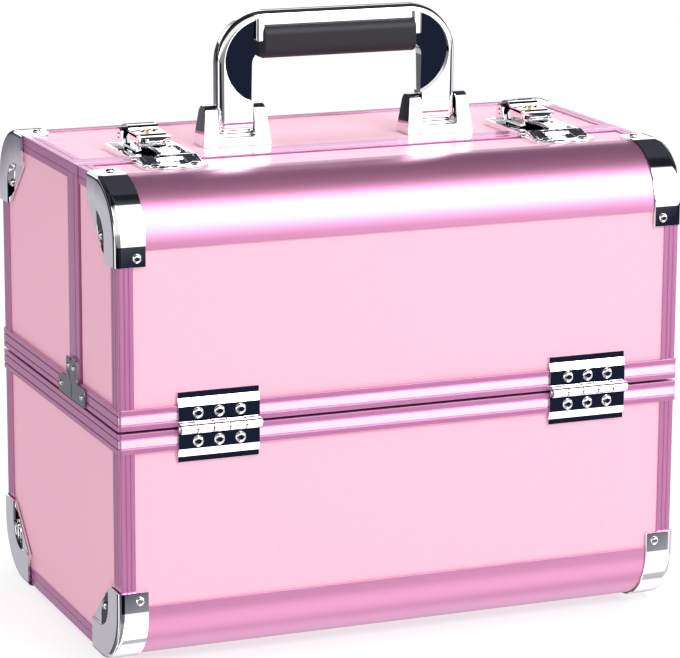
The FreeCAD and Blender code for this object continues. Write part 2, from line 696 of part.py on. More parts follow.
# ================================================================ latches
LATCH_PIVOT_Z = TOP + LATCH_PIVOT_UP
LEVER_HALF = LEVER_WIDTH / 2
EAR_OUT = LEVER_HALF + LATCH_SIDE_CLEARANCE + LATCH_EAR
LEVER_TOP = LATCH_PIVOT_Z + LATCH_BARREL
CLAW_PIVOT_Z = LATCH_PIVOT_Z - CLAW_PIVOT_DOWN


def latch_base(shell):
    """Plate on the rear lid with two ears that carry the lever's pin."""
    half = LATCH_WIDTH / 2
    plate = box(-half, half, REAR_EDGE, LATCH_REAR_Y, PANEL_TOP, TOP + LATCH_PLATE)
    plate = plate.makeFillet(LATCH_CORNER, edges_along(plate, Z_AXIS, lambda p: p.y > 0))
    y, z, reach = LATCH_PIVOT_Y, LATCH_PIVOT_Z, LATCH_BARREL
    outline = [(y - 2 * reach, TOP), (y + reach, TOP), (y + reach, z), (y - reach, z)]
    ears = []
    for x0 in (-EAR_OUT, EAR_OUT - LATCH_EAR):
        ear = extrude_x(outline, x0, x0 + LATCH_EAR)
        ears.append(ear.fuse(rod_x(x0, x0 + LATCH_EAR, y, z, reach)))
    hole = rod_x(-half - OVER, half + OVER, LATCH_PIVOT_Y, LATCH_PIVOT_Z, LATCH_PIN_RADIUS)
    body = less(joined([plate] + ears).cut(hole), shell)
    pin_end = EAR_OUT + LATCH_PIN_PROUD
    pin = rod_x(-pin_end, pin_end, LATCH_PIVOT_Y, LATCH_PIVOT_Z, LATCH_PIN_RADIUS)
    return body, pin


def latch_lever():
    """Lever with a hood over the pin, a plate for the lock, a drooping nose and flanged skirts."""
    y, z, half = LATCH_PIVOT_Y, LATCH_PIVOT_Z, LEVER_HALF
    front_y, hood_y = y - LEVER_LENGTH, y - LEVER_HOOD
    nose_y = front_y + LEVER_NOSE
    under = LEVER_TOP - LEVER_PLATE
    hood_top = LEVER_TOP + LEVER_HOOD_RAISE
    hood = extrude_x([(hood_y, under), (hood_y, hood_top), (y - LEVER_HOOD_BACK, hood_top),
                      (y + 0.68 * LATCH_BARREL, z + 0.92 * LATCH_BARREL), (y + LATCH_BARREL, z), (y, z)],
                     -half, half)
    tip = LEVER_TOP - LEVER_DROOP
    plate = extrude_x([(hood_y, LEVER_TOP), (nose_y, LEVER_TOP - LEVER_FALL),
                       (front_y + LEVER_NOSE / 3, LEVER_TOP - LEVER_DROOP / 2), (front_y, tip),
                       (front_y + 1, tip - 0.6), (nose_y, under - LEVER_FALL), (hood_y, under)], -half, half)
    plan = box(-half, half, front_y, y + LATCH_BARREL, TOP, hood_top + OVER)
    plan = plan.makeFillet(LEVER_CORNER, edges_along(plan, Z_AXIS, lambda p: p.y < front_y + 1))
    barrel = rod_x(-half, half, y, z, LATCH_BARREL)
    lever = joined([joined([hood, plate]).common(plan), barrel])
    foot = LEVER_TOP - LEVER_SKIRT
    sides = []
    for sign in (-1, 1):
        x0, x1 = sorted((sign * half, sign * (half - LEVER_SKIRT_THICK)))
        sides.append(box(x0, x1, nose_y, y, foot, LEVER_TOP - LEVER_PLATE / 2))
        x0, x1 = sorted((sign * (half + LEVER_FLANGE), sign * (half - LEVER_SKIRT_THICK)))
        sides.append(box(x0, x1, nose_y, y - LEVER_FLANGE_BACK, foot, foot + LEVER_SKIRT_THICK))
    lever = joined([lever] + sides)
    plug_y = y - PLUG_AHEAD
    bores = [rod_z(0, plug_y, TOP, TOP + FAR, PLUG_RADIUS + PIN_CLEARANCE),
             rod_x(-FAR, FAR, LATCH_PIVOT_Y, LATCH_PIVOT_Z, LATCH_PIN_RADIUS + PIN_CLEARANCE),
             rod_x(-FAR, FAR, CLAW_PIVOT_Y, CLAW_PIVOT_Z, CLAW_PIN_RADIUS + PIN_CLEARANCE)]
    lever = lever.cut(bores)
    plug_top = LEVER_TOP + PLUG_PROUD
    plug = rod_z(0, plug_y, under - PLUG_TAIL, plug_top, PLUG_RADIUS)
    width, length, depth = KEY_SLOT
    key_slot = box(-width / 2, width / 2, plug_y - length / 2, plug_y + length / 2, plug_top - depth, FAR)
    return lever, plug.cut(key_slot)


def latch_claw():
    """Hook on a cross pin under the lever, whose beak reaches over the catch's lip."""
    low = CLAW_PIVOT_Z - CLAW_THICK / 2
    back_y = CATCH_LIP_Y + CATCH_LIP_THICK / 2
    tip_y = CATCH_LIP_Y - CATCH_LIP_THICK
    under = TOP + CATCH_LIP_UP + CLAW_OVER_LIP
    tip = under + (back_y - tip_y) * CLAW_BEAK_SLOPE
    outline = [(CLAW_PIVOT_Y, low), (back_y + 4 * CLAW_THICK, low), (back_y + CLAW_THICK, under),
               (back_y, under), (tip_y, tip), (tip_y - CLAW_BEAK_NOSE / 2, tip + CLAW_BEAK_NOSE),
               (back_y, under + CLAW_BEAK_NOSE + CLAW_THICK / 2), (back_y + 3 * CLAW_THICK, low + CLAW_THICK),
               (CLAW_PIVOT_Y, low + CLAW_THICK)]
    hook = extrude_x(outline, -CLAW_WIDTH / 2, CLAW_WIDTH / 2)
    eye = rod_x(-CLAW_WIDTH / 2, CLAW_WIDTH / 2, CLAW_PIVOT_Y, CLAW_PIVOT_Z, CLAW_EYE)
    pin_end = LEVER_HALF - CLAW_END_PLAY
    pin = rod_x(-pin_end, pin_end, CLAW_PIVOT_Y, CLAW_PIVOT_Z, CLAW_PIN_RADIUS)
    return joined([hook, eye, pin])


def latch_catch():
    """Plate on the front lid with a rounded front, a lip for the claw and two screws."""
    half = LATCH_WIDTH / 2
    top = PANEL_TOP + CATCH_PLATE
    plate = box(-half, half, CATCH_FRONT_Y, FRONT_EDGE, PANEL_TOP, top)
    plate = plate.makeFillet(CATCH_CORNER, edges_along(plate, Z_AXIS, lambda p: p.y < CATCH_FRONT_Y + 1))
    lip_y0 = CATCH_LIP_Y - CATCH_LIP_THICK / 2
    lip = box(-CATCH_LIP_WIDTH / 2, CATCH_LIP_WIDTH / 2, lip_y0, lip_y0 + CATCH_LIP_THICK, PANEL_TOP,
              TOP + CATCH_LIP_UP)
    screws = [rivet(V(x, CATCH_FRONT_Y + CATCH_SCREW_BACK, top), Z_AXIS, CATCH_SCREW_RADIUS, CATCH_SCREW_HEAD)
              for x in (-CATCH_SCREW_X, CATCH_SCREW_X)]
    return joined([plate, lip]), screws


def build_latches(shells):
    """Left and right draw latches. Returns the screws, which belong to the front lid."""
    bases, catches, screws = [], [], []
    for name, x in (("left", -LATCH_X), ("right", LATCH_X)):
        shift = V(x, 0, 0)
        shell = [solid.translated(-shift) for solid in shells["rear_lid"]]
        body, pin = latch_base(shell)
        lever, plug = latch_lever()
        plate, heads = latch_catch()
        bases += [body.translated(shift), pin.translated(shift)]
        catches.append(plate.translated(shift))
        screws += [head.translated(shift) for head in heads]
        keep(f"{name}_latch_lever", lever.translated(shift))
        keep(f"{name}_latch_claw", latch_claw().translated(shift))
        keep(f"{name}_lock_plug", plug.translated(shift))
    keep("latch_bases", *bases)
    keep("latch_catches", *catches)
    return screws


# ================================================================ trays, bars and links
# The front set is drawn here; the rear set is its mirror image.
TILT = math.radians(BAR_TILT)
STEP_IN, STEP_UP = BAR_STEP * math.sin(TILT), BAR_STEP * math.cos(TILT)
PIVOT_A = (-HINGE_Y + BAR_PIVOT_IN, SPLIT - BAR_PIVOT_DOWN)
PIVOT_B = (PIVOT_A[0] + BAR_SPACING, PIVOT_A[1])
LINK_ON_LID = (-HINGE_Y + LINK_LID[0], SPLIT + LINK_LID[1])
LINK_ON_TRAY = (-HINGE_Y + LINK_TRAY[0], SPLIT + LINK_TRAY[1])
BAR_X = TRAY_HALF + BAR_OFFSET      # inner face of the bars at the right-hand end
BAR_OUT = BAR_X + BAR_THICK
LINK_X = TRAY_HALF + LINK_PLANE
LINK_OUT = LINK_X + LINK_THICK


def along_bar(pivot, steps):
    return pivot[0] + steps * STEP_IN, pivot[1] + steps * STEP_UP


def strip(start, end, width, x0, thick, holes):
    """Flat bar with round ends from one (y, z) point to another, drilled at the holes."""
    dy, dz = end[0] - start[0], end[1] - start[1]
    length = math.hypot(dy, dz)
    ny, nz = -dz / length * width / 2, dy / length * width / 2
    web = extrude_x([(start[0] + ny, start[1] + nz), (end[0] + ny, end[1] + nz),
                     (end[0] - ny, end[1] - nz), (start[0] - ny, start[1] - nz)], x0, x0 + thick)
    ends = [rod_x(x0, x0 + thick, point[0], point[1], width / 2) for point in (start, end)]
    bar = joined([web] + ends)
    for (y, z), radius in holes:
        bar = bar.cut(rod_x(x0 - OVER, x0 + thick + OVER, y, z, radius))
    return bar


def stud(point, root_x, near_x, far_x):
    """Stud from a wall at root_x: a shoulder up to a bar, a shank through it and a head beyond."""
    y, z = point
    outward = 1 if far_x > near_x else -1
    shoulder = near_x - outward * STUD_PLAY
    head = far_x + outward * STUD_PLAY
    pieces = [rod_x(*sorted((root_x, shoulder)), y, z, STUD_HEAD_RADIUS),
              rod_x(*sorted((shoulder, head)), y, z, STUD_RADIUS),
              rod_x(*sorted((head, head + outward * STUD_HEAD)), y, z, STUD_HEAD_RADIUS)]
    return joined(pieces)


def tray(level):
    """Open tray with shouldered studs on each end for the bars and, on the upper one, the link."""
    low = SPLIT + TRAY_START + (level - 1) * STEP_UP
    high = low + TRAY_HEIGHT
    half = TRAY_HALF
    body = box(-half, half, -TRAY_OUTER, -TRAY_INNER, low, high)
    body = body.makeFillet(TRAY_CORNER, edges_along(body, Z_AXIS))
    body = body.cut(box(-half + TRAY_WALL, half - TRAY_WALL, -TRAY_OUTER + TRAY_WALL,
                        -TRAY_INNER - TRAY_WALL, low + TRAY_WALL, high))
    studs = [stud(along_bar(pivot, level), half, BAR_X, BAR_OUT) for pivot in (PIVOT_A, PIVOT_B)]
    if level == 2:
        studs.append(stud(LINK_ON_TRAY, half, LINK_X, LINK_OUT))
    return joined([body] + studs + [flip_x(piece) for piece in studs])


def dividers(level):
    """Crossed partitions that stand on a tray's floor."""
    low = SPLIT + TRAY_START + (level - 1) * STEP_UP + TRAY_WALL
    gap = TRAY_WALL + DIVIDER_GAP
    half = TRAY_HALF - gap
    y0, y1 = -TRAY_OUTER + gap, -TRAY_INNER - gap
    middle = (y0 + y1) / 2
    plates = [box(-half, half, middle - DIVIDER / 2, middle + DIVIDER / 2, low, low + DIVIDER_HEIGHT)]
    for share in (-0.5, 0.0, 0.5):
        x = half * share
        plates.append(box(x - DIVIDER / 2, x + DIVIDER / 2, y0, y1, low, low + DIVIDER_HEIGHT))
    return joined(plates)


def carrying_bar(pivot):
    hole = STUD_RADIUS + STUD_CLEARANCE
    points = [along_bar(pivot, steps) for steps in (0, 1, 2)]
    return strip(points[0], points[2], BAR_WIDTH, BAR_X, BAR_THICK, [(point, hole) for point in points])


def lid_link():
    holes = [(LINK_ON_LID, STUD_RADIUS + STUD_CLEARANCE), (LINK_ON_TRAY, STUD_RADIUS + LINK_PLAY)]
    return strip(LINK_ON_LID, LINK_ON_TRAY, LINK_WIDTH, LINK_X, LINK_THICK, holes)


def base_studs(shell):
    """Studs on the base's end board that carry the two bars."""
    wall = HALF_W - LEAF - PANEL
    return [less(stud(pivot, wall, BAR_OUT, BAR_X), shell) for pivot in (PIVOT_A, PIVOT_B)]


def lid_stud(shell):
    """Stud on a lid's end board that pulls the link."""
    return less(stud(LINK_ON_LID, HALF_W - LEAF - PANEL, LINK_OUT, LINK_X), shell)


def build_trays(shells):
    """Both sets of trays. Returns the studs that belong to each body."""
    studs = {"base": [], "front_lid": [], "rear_lid": []}
    for name, lid, turn in (("front", "front_lid", lambda shape: shape), ("rear", "rear_lid", flip_y)):
        keep(f"{name}_lower_tray", turn(tray(1)))
        keep(f"{name}_upper_tray", turn(tray(2)))
        keep(f"{name}_tray_dividers", turn(dividers(2)))
        keep(f"{name}_outer_bars", *both_ends(turn(carrying_bar(PIVOT_A))))
        keep(f"{name}_inner_bars", *both_ends(turn(carrying_bar(PIVOT_B))))
        keep(f"{name}_lid_links", *both_ends(turn(lid_link())))
        for piece in base_studs([turn(solid) for solid in shells["base"]]):
            studs["base"] += both_ends(turn(piece))
        shell = [turn(solid) for solid in shells[lid]]
        studs[lid] += both_ends(turn(lid_stud(shell)))
    return studs


# ================================================================ small parts
def feet():
    """Four low rubber feet under the bottom board, a little narrower at the floor."""
    reach_x, reach_y = HALF_W - FOOT_IN_X, HALF_D - FOOT_IN_Y
    return [Part.makeCone(FOOT_RADIUS - FOOT_TAPER, FOOT_RADIUS, FOOT_HEIGHT + LEAF, V(x, y, 0), Z_AXIS)
            for x in (-reach_x, reach_x) for y in (-reach_y, reach_y)]


def floor_mat():
    """Loose mat on the bottom board, clear of the trims and the curved profiles."""
    x1 = HALF_W - END_TRIM_TURN - MAT_GAP
    y1 = HALF_D - CURVE_REACH - MAT_GAP
    z0 = BOTTOM + LEAF + PANEL
    return box(-x1, x1, -y1, y1, z0, z0 + MAT)


def tee_plate(shell):
    """Right-hand guide plate at the foot of the seam, whose front ear laps the front lid."""
    x0 = HALF_W + RAIL_PROUD + TEE_GAP
    middle = REAR_EDGE + SEAM_FRAME / 2
    low = LID_RIM
    ear = box(x0, x0 + TEE_PLATE, middle - TEE_WIDTH / 2, middle + TEE_WIDTH / 2, low, low + TEE_BAR)
    ear = ear.makeFillet(TEE_CORNER, edges_along(ear, X_AXIS, lambda p: p.z > low + 1))
    leg = box(x0, x0 + TEE_PLATE, middle - TEE_LEG / 2, middle + TEE_LEG / 2, low, low + TEE_HEIGHT)
    seat = box(HALF_W, x0, REAR_EDGE, middle + TEE_LEG / 2, low, low + TEE_HEIGHT)
    places = [(sign * TEE_LEG / 4, TEE_HEIGHT - TEE_RIVET_IN) for sign in (-1, 1)]
    places += [(sign * (TEE_WIDTH / 2 - TEE_RIVET_IN), TEE_BAR / 2) for sign in (-1, 1)]
    heads = [rivet(V(x0 + TEE_PLATE, middle + dy, low + dz), X_AXIS, TEE_RIVET_RADIUS, TEE_RIVET_HEAD)
             for dy, dz in places]
    return less(joined([ear, leg, seat]), shell), heads


# ================================================================ the whole case
def build():
    shells = {body: build_shell(body) for body in LAYOUT}
    heads = {body: build_caps(body, shells[body]) for body in LAYOUT}
    for body, more in build_hinges(shells).items():
        heads[body] += more
    for body, more in build_trays(shells).items():
        heads[body] += more
    build_handle()
    heads["front_lid"] += build_latches(shells)
    plate, rivets = tee_plate(shells["rear_lid"])
    keep("tee_plates", *both_ends(plate))
    for head in rivets:
        heads["rear_lid"] += both_ends(head)
    for body, group in heads.items():
        keep(f"{body}_rivets", *group)
    keep("feet", *feet())
    keep("floor_mat", floor_mat())


build()
os.makedirs("parts", exist_ok=True)
for node, shape in nodes.items():
    shape.exportStep(f"parts/{node}.step")
print(len(nodes), "nodes,", sum(len(shape.Solids) for shape in nodes.values()), "solids")
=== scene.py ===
import json
import math
from contextlib import contextmanager

import bmesh
import bpy
from mathutils import Matrix, Vector

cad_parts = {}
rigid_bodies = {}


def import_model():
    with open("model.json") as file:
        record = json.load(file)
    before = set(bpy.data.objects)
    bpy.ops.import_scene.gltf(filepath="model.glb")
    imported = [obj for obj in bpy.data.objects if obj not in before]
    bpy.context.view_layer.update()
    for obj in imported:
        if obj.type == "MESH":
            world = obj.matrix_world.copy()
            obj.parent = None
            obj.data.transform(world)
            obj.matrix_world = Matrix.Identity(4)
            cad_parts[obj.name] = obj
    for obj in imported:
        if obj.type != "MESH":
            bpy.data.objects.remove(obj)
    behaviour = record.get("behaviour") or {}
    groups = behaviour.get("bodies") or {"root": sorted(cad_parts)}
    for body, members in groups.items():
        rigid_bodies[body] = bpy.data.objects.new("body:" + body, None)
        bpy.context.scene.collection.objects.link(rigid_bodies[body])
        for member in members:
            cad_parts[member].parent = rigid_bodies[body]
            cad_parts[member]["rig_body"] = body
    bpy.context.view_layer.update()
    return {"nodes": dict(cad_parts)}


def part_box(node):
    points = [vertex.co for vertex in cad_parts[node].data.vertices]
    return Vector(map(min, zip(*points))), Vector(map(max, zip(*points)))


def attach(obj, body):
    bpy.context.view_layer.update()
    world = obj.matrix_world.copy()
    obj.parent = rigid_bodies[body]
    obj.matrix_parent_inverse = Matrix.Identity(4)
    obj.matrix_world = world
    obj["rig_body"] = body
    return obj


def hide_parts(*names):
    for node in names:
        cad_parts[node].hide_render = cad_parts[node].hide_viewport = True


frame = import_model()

bl_info = {
    "name": "Train case finish",
    "version": (1, 0, 0),
    "blender": (4, 5, 0),
    "location": "3D View > Sidebar > Train Case",
    "description": "Finishes the boards, edging, chrome hardware and trays of a make-up train case",
    "category": "Object",
}

MM = 0.001
WELD = 0.001 * MM                                   # corners this close together are one
NEAR = 0.1 * MM                                     # what counts as lying at a place
X_AXIS, Y_AXIS, Z_AXIS = Vector((1, 0, 0)), Vector((0, 1, 0)), Vector((0, 0, 1))
ENDS = (-1, 1)
# for each shell, whether it opens upwards (-1) or downwards (1), and the long sides it closes
BODIES = {"base": (-1, (-1, 1)), "front_lid": (1, (-1,)), "rear_lid": (1, (1,))}

# ---- places read from the frame, in metres
HALF_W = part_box("base_edge_trims")[1].x             # end faces of the case
HALF_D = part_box("base_rear_curve")[1].y             # front and back faces
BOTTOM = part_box("base_front_curve")[0].z
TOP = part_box("front_lid_curve")[1].z
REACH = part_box("front_lid_curve")[1].y + HALF_D     # of a curved profile, from the face of the case
BASE_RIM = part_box("base_rails")[1].z
LID_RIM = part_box("front_lid_rails")[0].z
SPLIT = (BASE_RIM + LID_RIM) / 2
RAIL_HIGH = BASE_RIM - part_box("base_rails")[0].z
RAIL_X, RAIL_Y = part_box("base_rails")[1].x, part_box("base_rails")[1].y
FRONT_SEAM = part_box("front_lid_top_panel")[1].y
REAR_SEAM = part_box("rear_lid_seam_frame")[0].y
SEAM_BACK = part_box("rear_lid_seam_frame")[1].y
SEAM_WIDE = SEAM_BACK - REAR_SEAM
LEAF = HALF_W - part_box("base_right_panel")[1].x     # wall of the edging over a board
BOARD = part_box("base_right_panel")[1].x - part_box("base_right_panel")[0].x
WALL = BOARD + 2 * LEAF
LATCH_BARREL = 5 * MM                               # round ends of a latch's lever and ears


# ---- sizes and colours a user may change
def size(name, description, millimetres):
    return bpy.props.FloatProperty(name=name, description=description, default=millimetres * MM,
                                   unit="LENGTH")


def lean(name, description, degrees):
    return bpy.props.FloatProperty(name=name, description=description,
                                   default=math.radians(degrees), subtype="ANGLE")


def colour(name, description, default):
    return bpy.props.FloatVectorProperty(name=name, description=description, default=default,
                                         subtype="COLOR", size=3, min=0, max=1)


class CaseSizes(bpy.types.PropertyGroup):
    edge_radius: size("Edge radius", "Radius of the four long rounded edges", 34)
    curve_wall: size("Curve wall", "Wall of the curved profiles", 2)
    trim_face: size("Trim face leg", "Corner trim on the front and back", 9)
    trim_side: size("Trim side leg", "Corner trim on the ends", 12.5)
    end_trim: size("End trim drop", "Trim along the top and bottom of the ends", 10)
    end_turn: size("End trim turn", "Trim turned over the top and bottom", 8)
    flute: size("Flute", "Width of the lines along the trims", 0.9)
    flute_depth: size("Flute depth", "Depth of the lines along the trims", 0.5)
    rail_rib: size("Rail rib", "Bright band along the middle of a rail", 4.6)
    rail_groove: size("Rail groove", "Width and depth of the grooves beside the bright band", 0.7)
    cap_wall: size("Cap wall", "Thickness of the corner caps", 1.2)
    cap_strap: size("Cap strap", "Width of a corner cap over the edge", 16.5)
    cap_rim: size("Cap rim", "Width of the raised band of a corner cap", 19)
    cap_raise: size("Cap raise", "Height of the raised band", 0.9)
    recess_lean: lean("Recess lean", "Lean of the floors of the corner caps' recesses", 5.6)
    hinge_plate: size("Hinge plate", "Thickness of the hinge leaves", 1.2)
    knuckle_gap: size("Knuckle gap", "Gap between the knuckles", 0.3)
    handle_rim: size("Handle rim", "Rounding round the outside of the handle", 4.2)
    pocket_lean: lean("Pocket lean", "Lean of the floors of the handle's pockets", 2.6)
    grip_edge: size("Grip edge", "Rounding of the grip", 6)
    plate_lean: lean("Plate lean", "Fall of the floor of a latch base", 1.8)
    small_edge: size("Small edge", "Rounding of the small hardware", 0.4)
    lining: size("Lining", "Thickness of the lining inside", 0.9)
    rivet_flat: bpy.props.FloatProperty(name="Rivet flat", description="Flat share of a rivet head",
                                        default=0.5, min=0, max=0.9, subtype="FACTOR")


class CaseColours(bpy.types.PropertyGroup):
    board: colour("Board", "Pink laminate of the boards", (0.95, 0.515, 0.65))
    edging: colour("Edging", "Pink anodised curved profiles", (0.62, 0.255, 0.435))
    trim: colour("Trims", "Pink anodised trims and rails", (0.63, 0.25, 0.47))
    bright_band: colour("Bright band", "Cut band along the rails", (0.93, 0.74, 0.84))
    chrome: colour("Chrome", "Plated hardware", (0.90, 0.90, 0.91))
    steel: colour("Steel", "Guide plates, bars and links", (0.52, 0.54, 0.57))
    brass: colour("Brass", "Lock plugs", (0.80, 0.62, 0.30))
    grip: colour("Grip", "Moulded grip and feet", (0.028, 0.028, 0.033))
    tray: colour("Tray", "Moulded trays", (0.78, 0.44, 0.58))
    lining: colour("Lining", "Lining and floor mat", (0.10, 0.095, 0.105))


# ---- working with pieces
def take(*pieces):
    """Selects these pieces alone; the first is the active one."""
    bpy.ops.object.select_all(action="DESELECT")
    for piece in pieces:
        piece.select_set(True)
    bpy.context.view_layer.objects.active = pieces[0]


@contextmanager
def shaping(piece, mode="FACE", everything=False):
    """Edit mode on one piece, with nothing or everything selected at the start."""
    take(piece)
    bpy.ops.object.mode_set(mode="EDIT")
    bpy.ops.mesh.select_mode(type=mode)
    bpy.ops.mesh.select_all(action="SELECT" if everything else "DESELECT")
    yield
    bpy.ops.object.mode_set(mode="OBJECT")


def pick(kind, test):
    """Selects the verts, edges or faces of the piece being shaped that pass a test, alone."""
    bpy.ops.mesh.select_all(action="DESELECT")
    mesh = bmesh.from_edit_mesh(bpy.context.edit_object.data)
    for part in getattr(mesh, kind):
        if test(part):
            part.select_set(True)
    mesh.select_flush_mode()
    bmesh.update_edit_mesh(bpy.context.edit_object.data)


def middle(edge):
    return (edge.verts[0].co + edge.verts[1].co) / 2


def along(edge, axis):
    """Whether an edge runs along an axis."""
    return abs((edge.verts[1].co - edge.verts[0].co).normalized().dot(axis)) > 0.999


def push(vector):
    """Extrudes what is selected."""
    bpy.ops.mesh.extrude_region_move(TRANSFORM_OT_translate={"value": vector})


def outward(piece):
    """Merges doubles and turns every face outwards."""
    with shaping(piece, everything=True):
        bpy.ops.mesh.remove_doubles(threshold=WELD)
        bpy.ops.mesh.normals_make_consistent(inside=False)
    return piece


def settle(piece, matrix=None):
    """Puts a piece where a matrix says and keeps the place in its mesh."""
    if matrix is not None:
        piece.matrix_world = matrix @ piece.matrix_world
    take(piece)
    bpy.ops.object.transform_apply(location=True, rotation=True, scale=True)
    if matrix is not None and matrix.determinant() < 0:
        outward(piece)
    return piece


def named(name):
    """Names the primitive just added and keeps its place in its mesh."""
    piece = bpy.context.object
    piece.name = piece.data.name = name
    return settle(piece)


def block(name, low, high):
    """A cube added at its size and place."""
    low, high = Vector(map(min, low, high)), Vector(map(max, low, high))
    bpy.ops.object.select_all(action="DESELECT")
    bpy.ops.mesh.primitive_cube_add(size=1, location=(low + high) / 2, scale=high - low)
    return named(name)


def rod(name, start, end, radius, sides=32):
    """A cylinder from one point to another."""
    start, end = Vector(start), Vector(end)
    turn = (end - start).to_track_quat("Z", "Y").to_euler()
    bpy.ops.object.select_all(action="DESELECT")
    bpy.ops.mesh.primitive_cylinder_add(vertices=sides, radius=radius, depth=(end - start).length,
                                        location=(start + end) / 2, rotation=turn)
    return named(name)


def drawn(name, points, closed=True):
    """A line drawn from point to point by extruding its last corner; a closed one is filled."""
    points = [Vector(point) for point in points]
    bpy.ops.object.select_all(action="DESELECT")
    bpy.ops.mesh.primitive_plane_add(size=MM, location=points[0])
    piece = named(name)
    with shaping(piece, "VERT", everything=True):
        bpy.ops.mesh.merge(type="CENTER")
        for here, there in zip(points, points[1:]):
            bpy.ops.mesh.extrude_vertices_move(TRANSFORM_OT_translate={"value": there - here})
        if closed:
            bpy.ops.mesh.select_all(action="SELECT")
            bpy.ops.mesh.edge_face_add()
    return piece


def prism(name, points, vector):
    """A drawn outline, filled and extruded."""
    piece = drawn(name, points)
    with shaping(piece, everything=True):
        push(vector)
    return outward(piece)


def length_of(name, outline, start, end):
    """An outline of (y, z) points extruded along x from one place to another."""
    return prism(name, [(start, y, z) for y, z in outline], X_AXIS * (end - start))


def turned(name, profile, centre, axis, steps=28):
    """A profile of (radius, height) points spun round an axis, as on a lathe."""
    centre, axis = Vector(centre), Vector(axis)
    across = axis.orthogonal().normalized()
    piece = drawn(name, [centre + across * r + axis * h for r, h in profile], closed=False)
    with shaping(piece, "VERT", everything=True):
        bpy.ops.mesh.spin(steps=steps, angle=math.tau, center=centre, axis=axis)
    return outward(piece)


def turned_pin(name, start, length, radius, neck, chamfer):
    """A pin along x with chamfered ends."""
    profile = [(0, 0), (neck, 0), (radius, chamfer), (radius, length - chamfer), (neck, length),
               (0, length)]
    return turned(name, profile, start, X_AXIS, 24)


def applied(piece, kind, **settings):
    """Adds a modifier, sets it and applies it."""
    take(piece)
    modifier = piece.modifiers.new(kind.title(), kind)
    for key, value in settings.items():
        setattr(modifier, key, value)
    bpy.ops.object.modifier_apply(modifier=modifier.name)
    return piece


def soften(piece, width, segments=2, angle=32):
    """Rounds the sharp edges of a piece."""
    return applied(piece, "BEVEL", width=width, segments=segments, limit_method="ANGLE",
                   angle_limit=math.radians(angle), harden_normals=False)


def round_edges(piece, width, segments, test):
    """Rounds the edges of a piece that pass a test."""
    with shaping(piece, "EDGE"):
        pick("edges", test)
        bpy.ops.mesh.bevel(offset=width, segments=segments)
    return piece


def smooth(piece, angle=38):
    """Shades the round faces smooth and keeps the flat ones flat."""
    take(piece)
    bpy.ops.object.shade_smooth_by_angle(angle=math.radians(angle))
    return applied(piece, "WEIGHTED_NORMAL", keep_sharp=True, weight=92)


def cut(piece, *tools, operation="DIFFERENCE"):
    """Cuts tools from a piece and puts the tools away."""
    for tool in tools:
        applied(piece, "BOOLEAN", operation=operation, object=tool, solver="EXACT")
        bpy.data.objects.remove(tool)
    return piece


def cut_flute(piece, facing, start, end, depth):
    """Cuts a flute in the face of a piece that looks one way, between two places along y."""
    def looks(face):
        return face.normal.dot(facing) > 0.9

    with shaping(piece):
        for place in (start, end):
            pick("faces", looks)
            bpy.ops.mesh.bisect(plane_co=(0, place, 0), plane_no=Y_AXIS)
        pick("faces", lambda f: looks(f) and start < f.calc_center_median().y < end)
        push(facing * -depth)
    return piece


def copy_of(piece, name, matrix=None):
    """A copy with its own mesh, moved by a matrix."""
    made = bpy.data.objects.new(name, piece.data.copy())
    made.data.name = name
    bpy.context.scene.collection.objects.link(made)
    return settle(made, matrix)


def joined(name, pieces):
    """Joins pieces into one object."""
    take(*pieces)
    if len(pieces) > 1:
        bpy.ops.object.join()
    made = bpy.context.object
    made.name = made.data.name = name
    return made


def mirror(axis, at=0.0):
    """The matrix that mirrors along an axis about a plane."""
    there, back = Matrix.Translation(axis * at), Matrix.Translation(axis * -at)
    return there @ Matrix.Scale(-1, 4, axis) @ back


def cad_copy(node, name):
    """A merged copy of a CAD node's mesh, to be refined."""
    made = bpy.data.objects.new(name, frame["nodes"][node].data.copy())
    made.data.materials.clear()
    bpy.context.scene.collection.objects.link(made)
    with shaping(made, "VERT", everything=True):
        bpy.ops.mesh.remove_doubles(threshold=WELD)
        bpy.ops.mesh.customdata_custom_splitnormals_clear()
        bpy.ops.mesh.dissolve_limited(angle_limit=math.radians(0.5))
    return made


def solids_in(node):
    """Boxes of the separate solids of a CAD node."""
    mesh = bmesh.new()
    mesh.from_mesh(frame["nodes"][node].data)
    bmesh.ops.remove_doubles(mesh, verts=mesh.verts, dist=WELD)
    boxes, seen = [], set()
    for first in mesh.verts:
        if first in seen:
            continue
        seen.add(first)
        group, front = [], [first]
        while front:
            vert = front.pop()
            group.append(vert.co.copy())
            for edge in vert.link_edges:
                other = edge.other_vert(vert)
                if other not in seen:
                    seen.add(other)
                    front.append(other)
        boxes.append((Vector(map(min, *group)), Vector(map(max, *group))))
    mesh.free()
    return boxes


def largest_solid(node):
    return max(solids_in(node), key=lambda box: (box[1] - box[0]).length)


def finish(piece, material, *nodes, angle=38):
    """Smooths a piece, gives it a material and the body of its first CAD node, and hides the CAD
    nodes it stands for.
    """
    smooth(piece, angle)
    if not piece.data.materials:
        piece.data.materials.append(FINISHES[material])
    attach(piece, frame["nodes"][nodes[0]]["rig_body"])
    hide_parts(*nodes)
    return piece


# ---- outlines
def offsets(point, *steps):
    """Points at steps in millimetres from a point."""
    return [(point[0] + a * MM, point[1] + b * MM) for a, b in steps]


def arc(centre, radius, start, end, steps=24):
    """Points of an arc in a plane, from one angle to another in degrees."""
    points = []
    for index in range(steps + 1):
        angle = math.radians(start + (end - start) * index / steps)
        points.append((centre[0] + radius * math.cos(angle), centre[1] + radius * math.sin(angle)))
    return points


